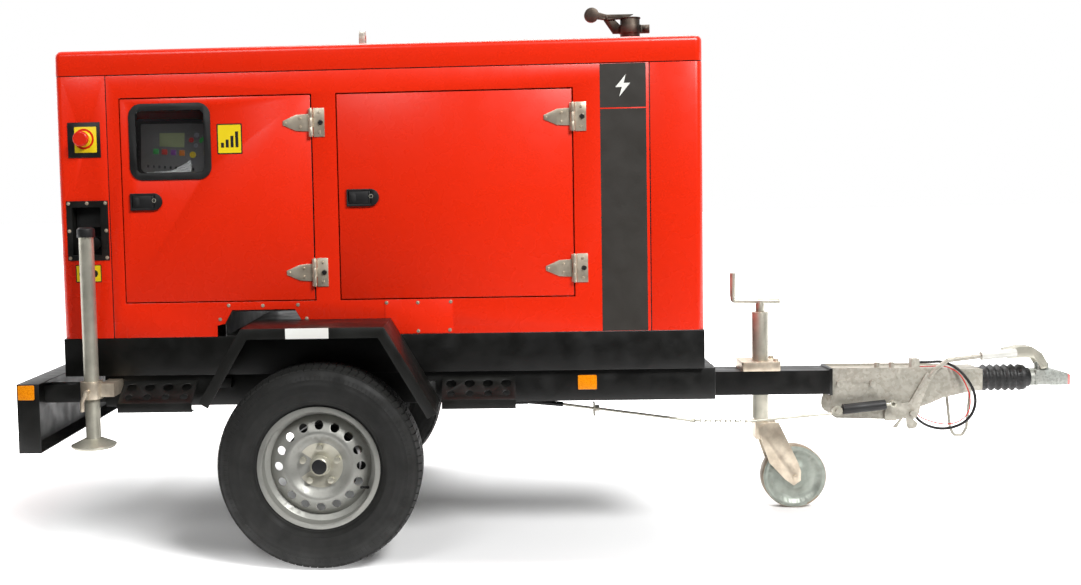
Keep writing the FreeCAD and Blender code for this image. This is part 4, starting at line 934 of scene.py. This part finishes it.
for tone, x, z, radius in (("grey", 431, 1389, 7), ("red", 417, 1375, 7), ("green", 446, 1374, 7),
                           ("grey", 430, 1360, 6), ("yellow", 422, 1334, 9)):
    lathe(f"round_key_{x}_{z}", [(0, radius), (1.6, radius), (2.6, radius - 1), (3, radius / 2),
                                 (3.1, 0)], at(x, panel_y - 2.4, z), -Y, [key_paint[tone]],
          "trailer", 24)
for tone, x in (("green", 315), ("red", 340), ("purple", 366), ("orange", 391)):
    slab(f"square_key_{x}", round_rect(x - 8, x + 8, 1330, 1346, 2), panel_y - 2.4, -2.2,
         key_paint[tone], "trailer", 0.6)
tick = slab("panel_ticks", round_rect(-3, 3, -4, 4, 0.8, 2), 0, -0.3, black_film, "trailer", 0)
tick.data.transform(Matrix.Translation(-at(0, 0, 0)))
grow(tick, repeat_tree, "trailer", Count=9, Start=at(292, panel_y - 2.5, 1293), Step=(0.0165, 0, 0),
     Material=black_film)
print("panel", round(panel_y - right_skin), "mm in from the skin")

# %% [markdown]
# ## Door furniture
# Hinges are riveted on: three domed rivets on a strap, two on a leaf, and a black plug over the
# leaf's jacking screw. The latch has a lock with a bright ring and a dark finger hollow.

# %% Rivets, plugs and locks
for end, (x0, x1) in door_spans.items():
    hinge = x1 + 2
    for hand, sign in hands.items():
        face = sign * (3.4 - right_skin)
        straps = [at(hinge + dx, face, z + dz) for z in hinge_heights
                  for dx, dz in ((-36, 14), (-36, -14), (-85, 0))]
        fasteners(f"strap_rivets_{end}_{hand}", straps, (0, sign, 0), f"{end}_{hand}_door", zinc,
                  4.6, 2.4)
        leaves = [at(hinge + 27, face, z + dz) for z in hinge_heights for dz in (-32, 32)]
        fasteners(f"leaf_rivets_{end}_{hand}", leaves, (0, sign, 0), "trailer", zinc, 4.6, 2.4)
        fasteners(f"leaf_plugs_{end}_{hand}", [at(hinge + 31, face + sign, z)
                                               for z in hinge_heights],
                  (0, sign, 0), "trailer", nylon, 8.5, 5, 24)
        lock = at(x0 + 26 + 80, sign * (8 - right_skin), 1173)
        lathe(f"latch_lock_ring_{end}_{hand}", [(-6, 0), (-6, 7), (0.6, 7), (1.4, 6.4),
                                                (1.4, 5.2), (0.4, 4.8), (0.4, 0)], lock,
              sign * Y, [tube_zinc], f"{end}_{hand}_door", 32)
        lathe(f"latch_lock_core_{end}_{hand}", [(0, 0), (0, 4.7), (1, 4.5), (1.1, 1.4), (0.2, 1.2),
                                                (0.2, 0)], lock, sign * Y, [oiled_steel],
              f"{end}_{hand}_door", 24)
        paddle = sign * (8.2 - right_skin)
        slab(f"latch_hollow_{end}_{hand}",
             round_rect(x0 + 39, x0 + 57, 1154, 1184, 8.9), paddle - sign * 2.4, sign * 1.9,
             soft_rubber, f"{end}_{hand}_latch", 0.5)
print("door furniture on")

# %% [markdown]
# ## Skin furniture
# What is screwed or stuck to the canopy: the cover over the front fork pocket, the screws round
# the rear one, the frame of the cable outlet, the yellow plate of the stop switch, labels, the
# dark stripe with a plain spark on it, and amber reflectors.

# %% Covers and screws
for hand, sign in hands.items():
    skin = -sign * right_skin
    slab(f"pocket_cover_{hand}", round_rect(1078, 1301, 719, 831, 3, 2), skin, sign * 1.6,
         canopy_red, "trailer", 0.5)
    fasteners(f"cover_screws_{hand}", [at(x, skin + sign * 2, z) for x, z in
                                       ((1084, 822), (1187, 821), (1295, 822), (1187, 727),
                                        (1291, 729))], (0, sign, 0), "trailer", zinc, 4.2,
              2.4, 16, 6)
    fasteners(f"pocket_screws_{hand}", [at(x, skin + sign * 0.6, z) for x, z in
                                        ((559, 821), (673, 819), (790, 820), (529, 775),
                                         (818, 774))], (0, sign, 0), "trailer", zinc, 4.2,
              2.4, 16, 6)
fasteners("outlet_screws", [at(x, right_skin - 3.4, z) for x, z in
                            ((34, 987), (96, 986), (158, 987), (34, 1077), (158, 1077), (34, 1168),
                             (96, 1168), (158, 1168))], (0, -1, 0), "trailer", zinc, 4,
          2.2, 6, 6)
slab("outlet_curtain", [(47, 1088), (137, 1088), (137, 1153), (47, 1153)],
     right_skin + 34, 3, soft_rubber, "trailer", 0.8)
slab("stop_plate_yellow", round_rect(63, 137, 1335, 1420, 3), right_skin - 3, -0.4, yellow_film,
     "trailer", 0.1)
stop_face = at(94, right_skin - 3.3, 1380)
lathe("stop_ring", [(0, 27), (0, 34), (0.3, 34), (0.3, 27)], stop_face, -Y, [red_plastic],
      "trailer", closed=True)
lathe("stop_collar", [(0, 16.8), (0, 24), (2, 25), (6, 24.6), (7, 23), (7, 16.8)], stop_face, -Y,
      [yellow_film], "trailer", 48)
print("covers on")

# %% Stripe, spark and labels
for hand, sign in hands.items():
    skin = -sign * right_skin
    for name, z0, z1 in (("lower", 718, 1439), ("upper", 1443, 1584)):
        slab(f"stripe_{name}_{hand}", [(1790, z0), (1938, z0), (1938, z1), (1790, z1)], skin,
             sign * 0.25, stripe_film, "trailer", 0)
    spark = [(10, 36), (-24, -5), (-3, -5), (-12, -36), (24, 8), (3, 8)]
    slab(f"stripe_spark_{hand}", [(1864 + x, 1513 + z) for x, z in spark], skin + sign * 0.25,
         sign * 0.15, white_film, "trailer", 0)
face = right_skin
for label, body, x0, x1, z0, z1, edge in (
        ("level_label", "rear_right_door", 537, 621, 1320, 1420, 4),
        ("outlet_label", "trailer", 49, 136, 905, 964, 3)):
    slab(label + "_edge", round_rect(x0, x1, z0, z1, edge), face, -0.2, black_film, body, 0)
    slab(label, round_rect(x0 + edge, x1 - edge, z0 + edge, z1 - edge, edge - 1), face - 0.2, -0.15,
         yellow_film, body, 0)
mark = (face - 0.35, -0.1, black_film)
for number, height in enumerate((16, 26, 38, 52)):
    x = 550 + 16 * number
    slab(f"level_label_bar_{number}", [(x, 1342), (x + 10, 1342), (x + 10, 1342 + height),
                                       (x, 1342 + height)], *mark, "rear_right_door", 0)
for x in (72, 112):
    slab(f"outlet_label_ring_{x}", round_rect(x - 12, x + 12, 922, 946, 11.9, 8), *mark, "trailer",
         0)
print("films on")

# %% Reflectors
for hand, sign in hands.items():
    slab(f"rail_reflector_{hand}", round_rect(1708, 1770, 523, 571, 4), sign * 470, sign * 4.5,
         amber_lens, "trailer", 1.0)
    slab(f"board_reflector_{hand}", round_rect(-77, -24, 550, 597, 4), sign * 700, sign * 4.5,
         amber_lens, "trailer", 1.0)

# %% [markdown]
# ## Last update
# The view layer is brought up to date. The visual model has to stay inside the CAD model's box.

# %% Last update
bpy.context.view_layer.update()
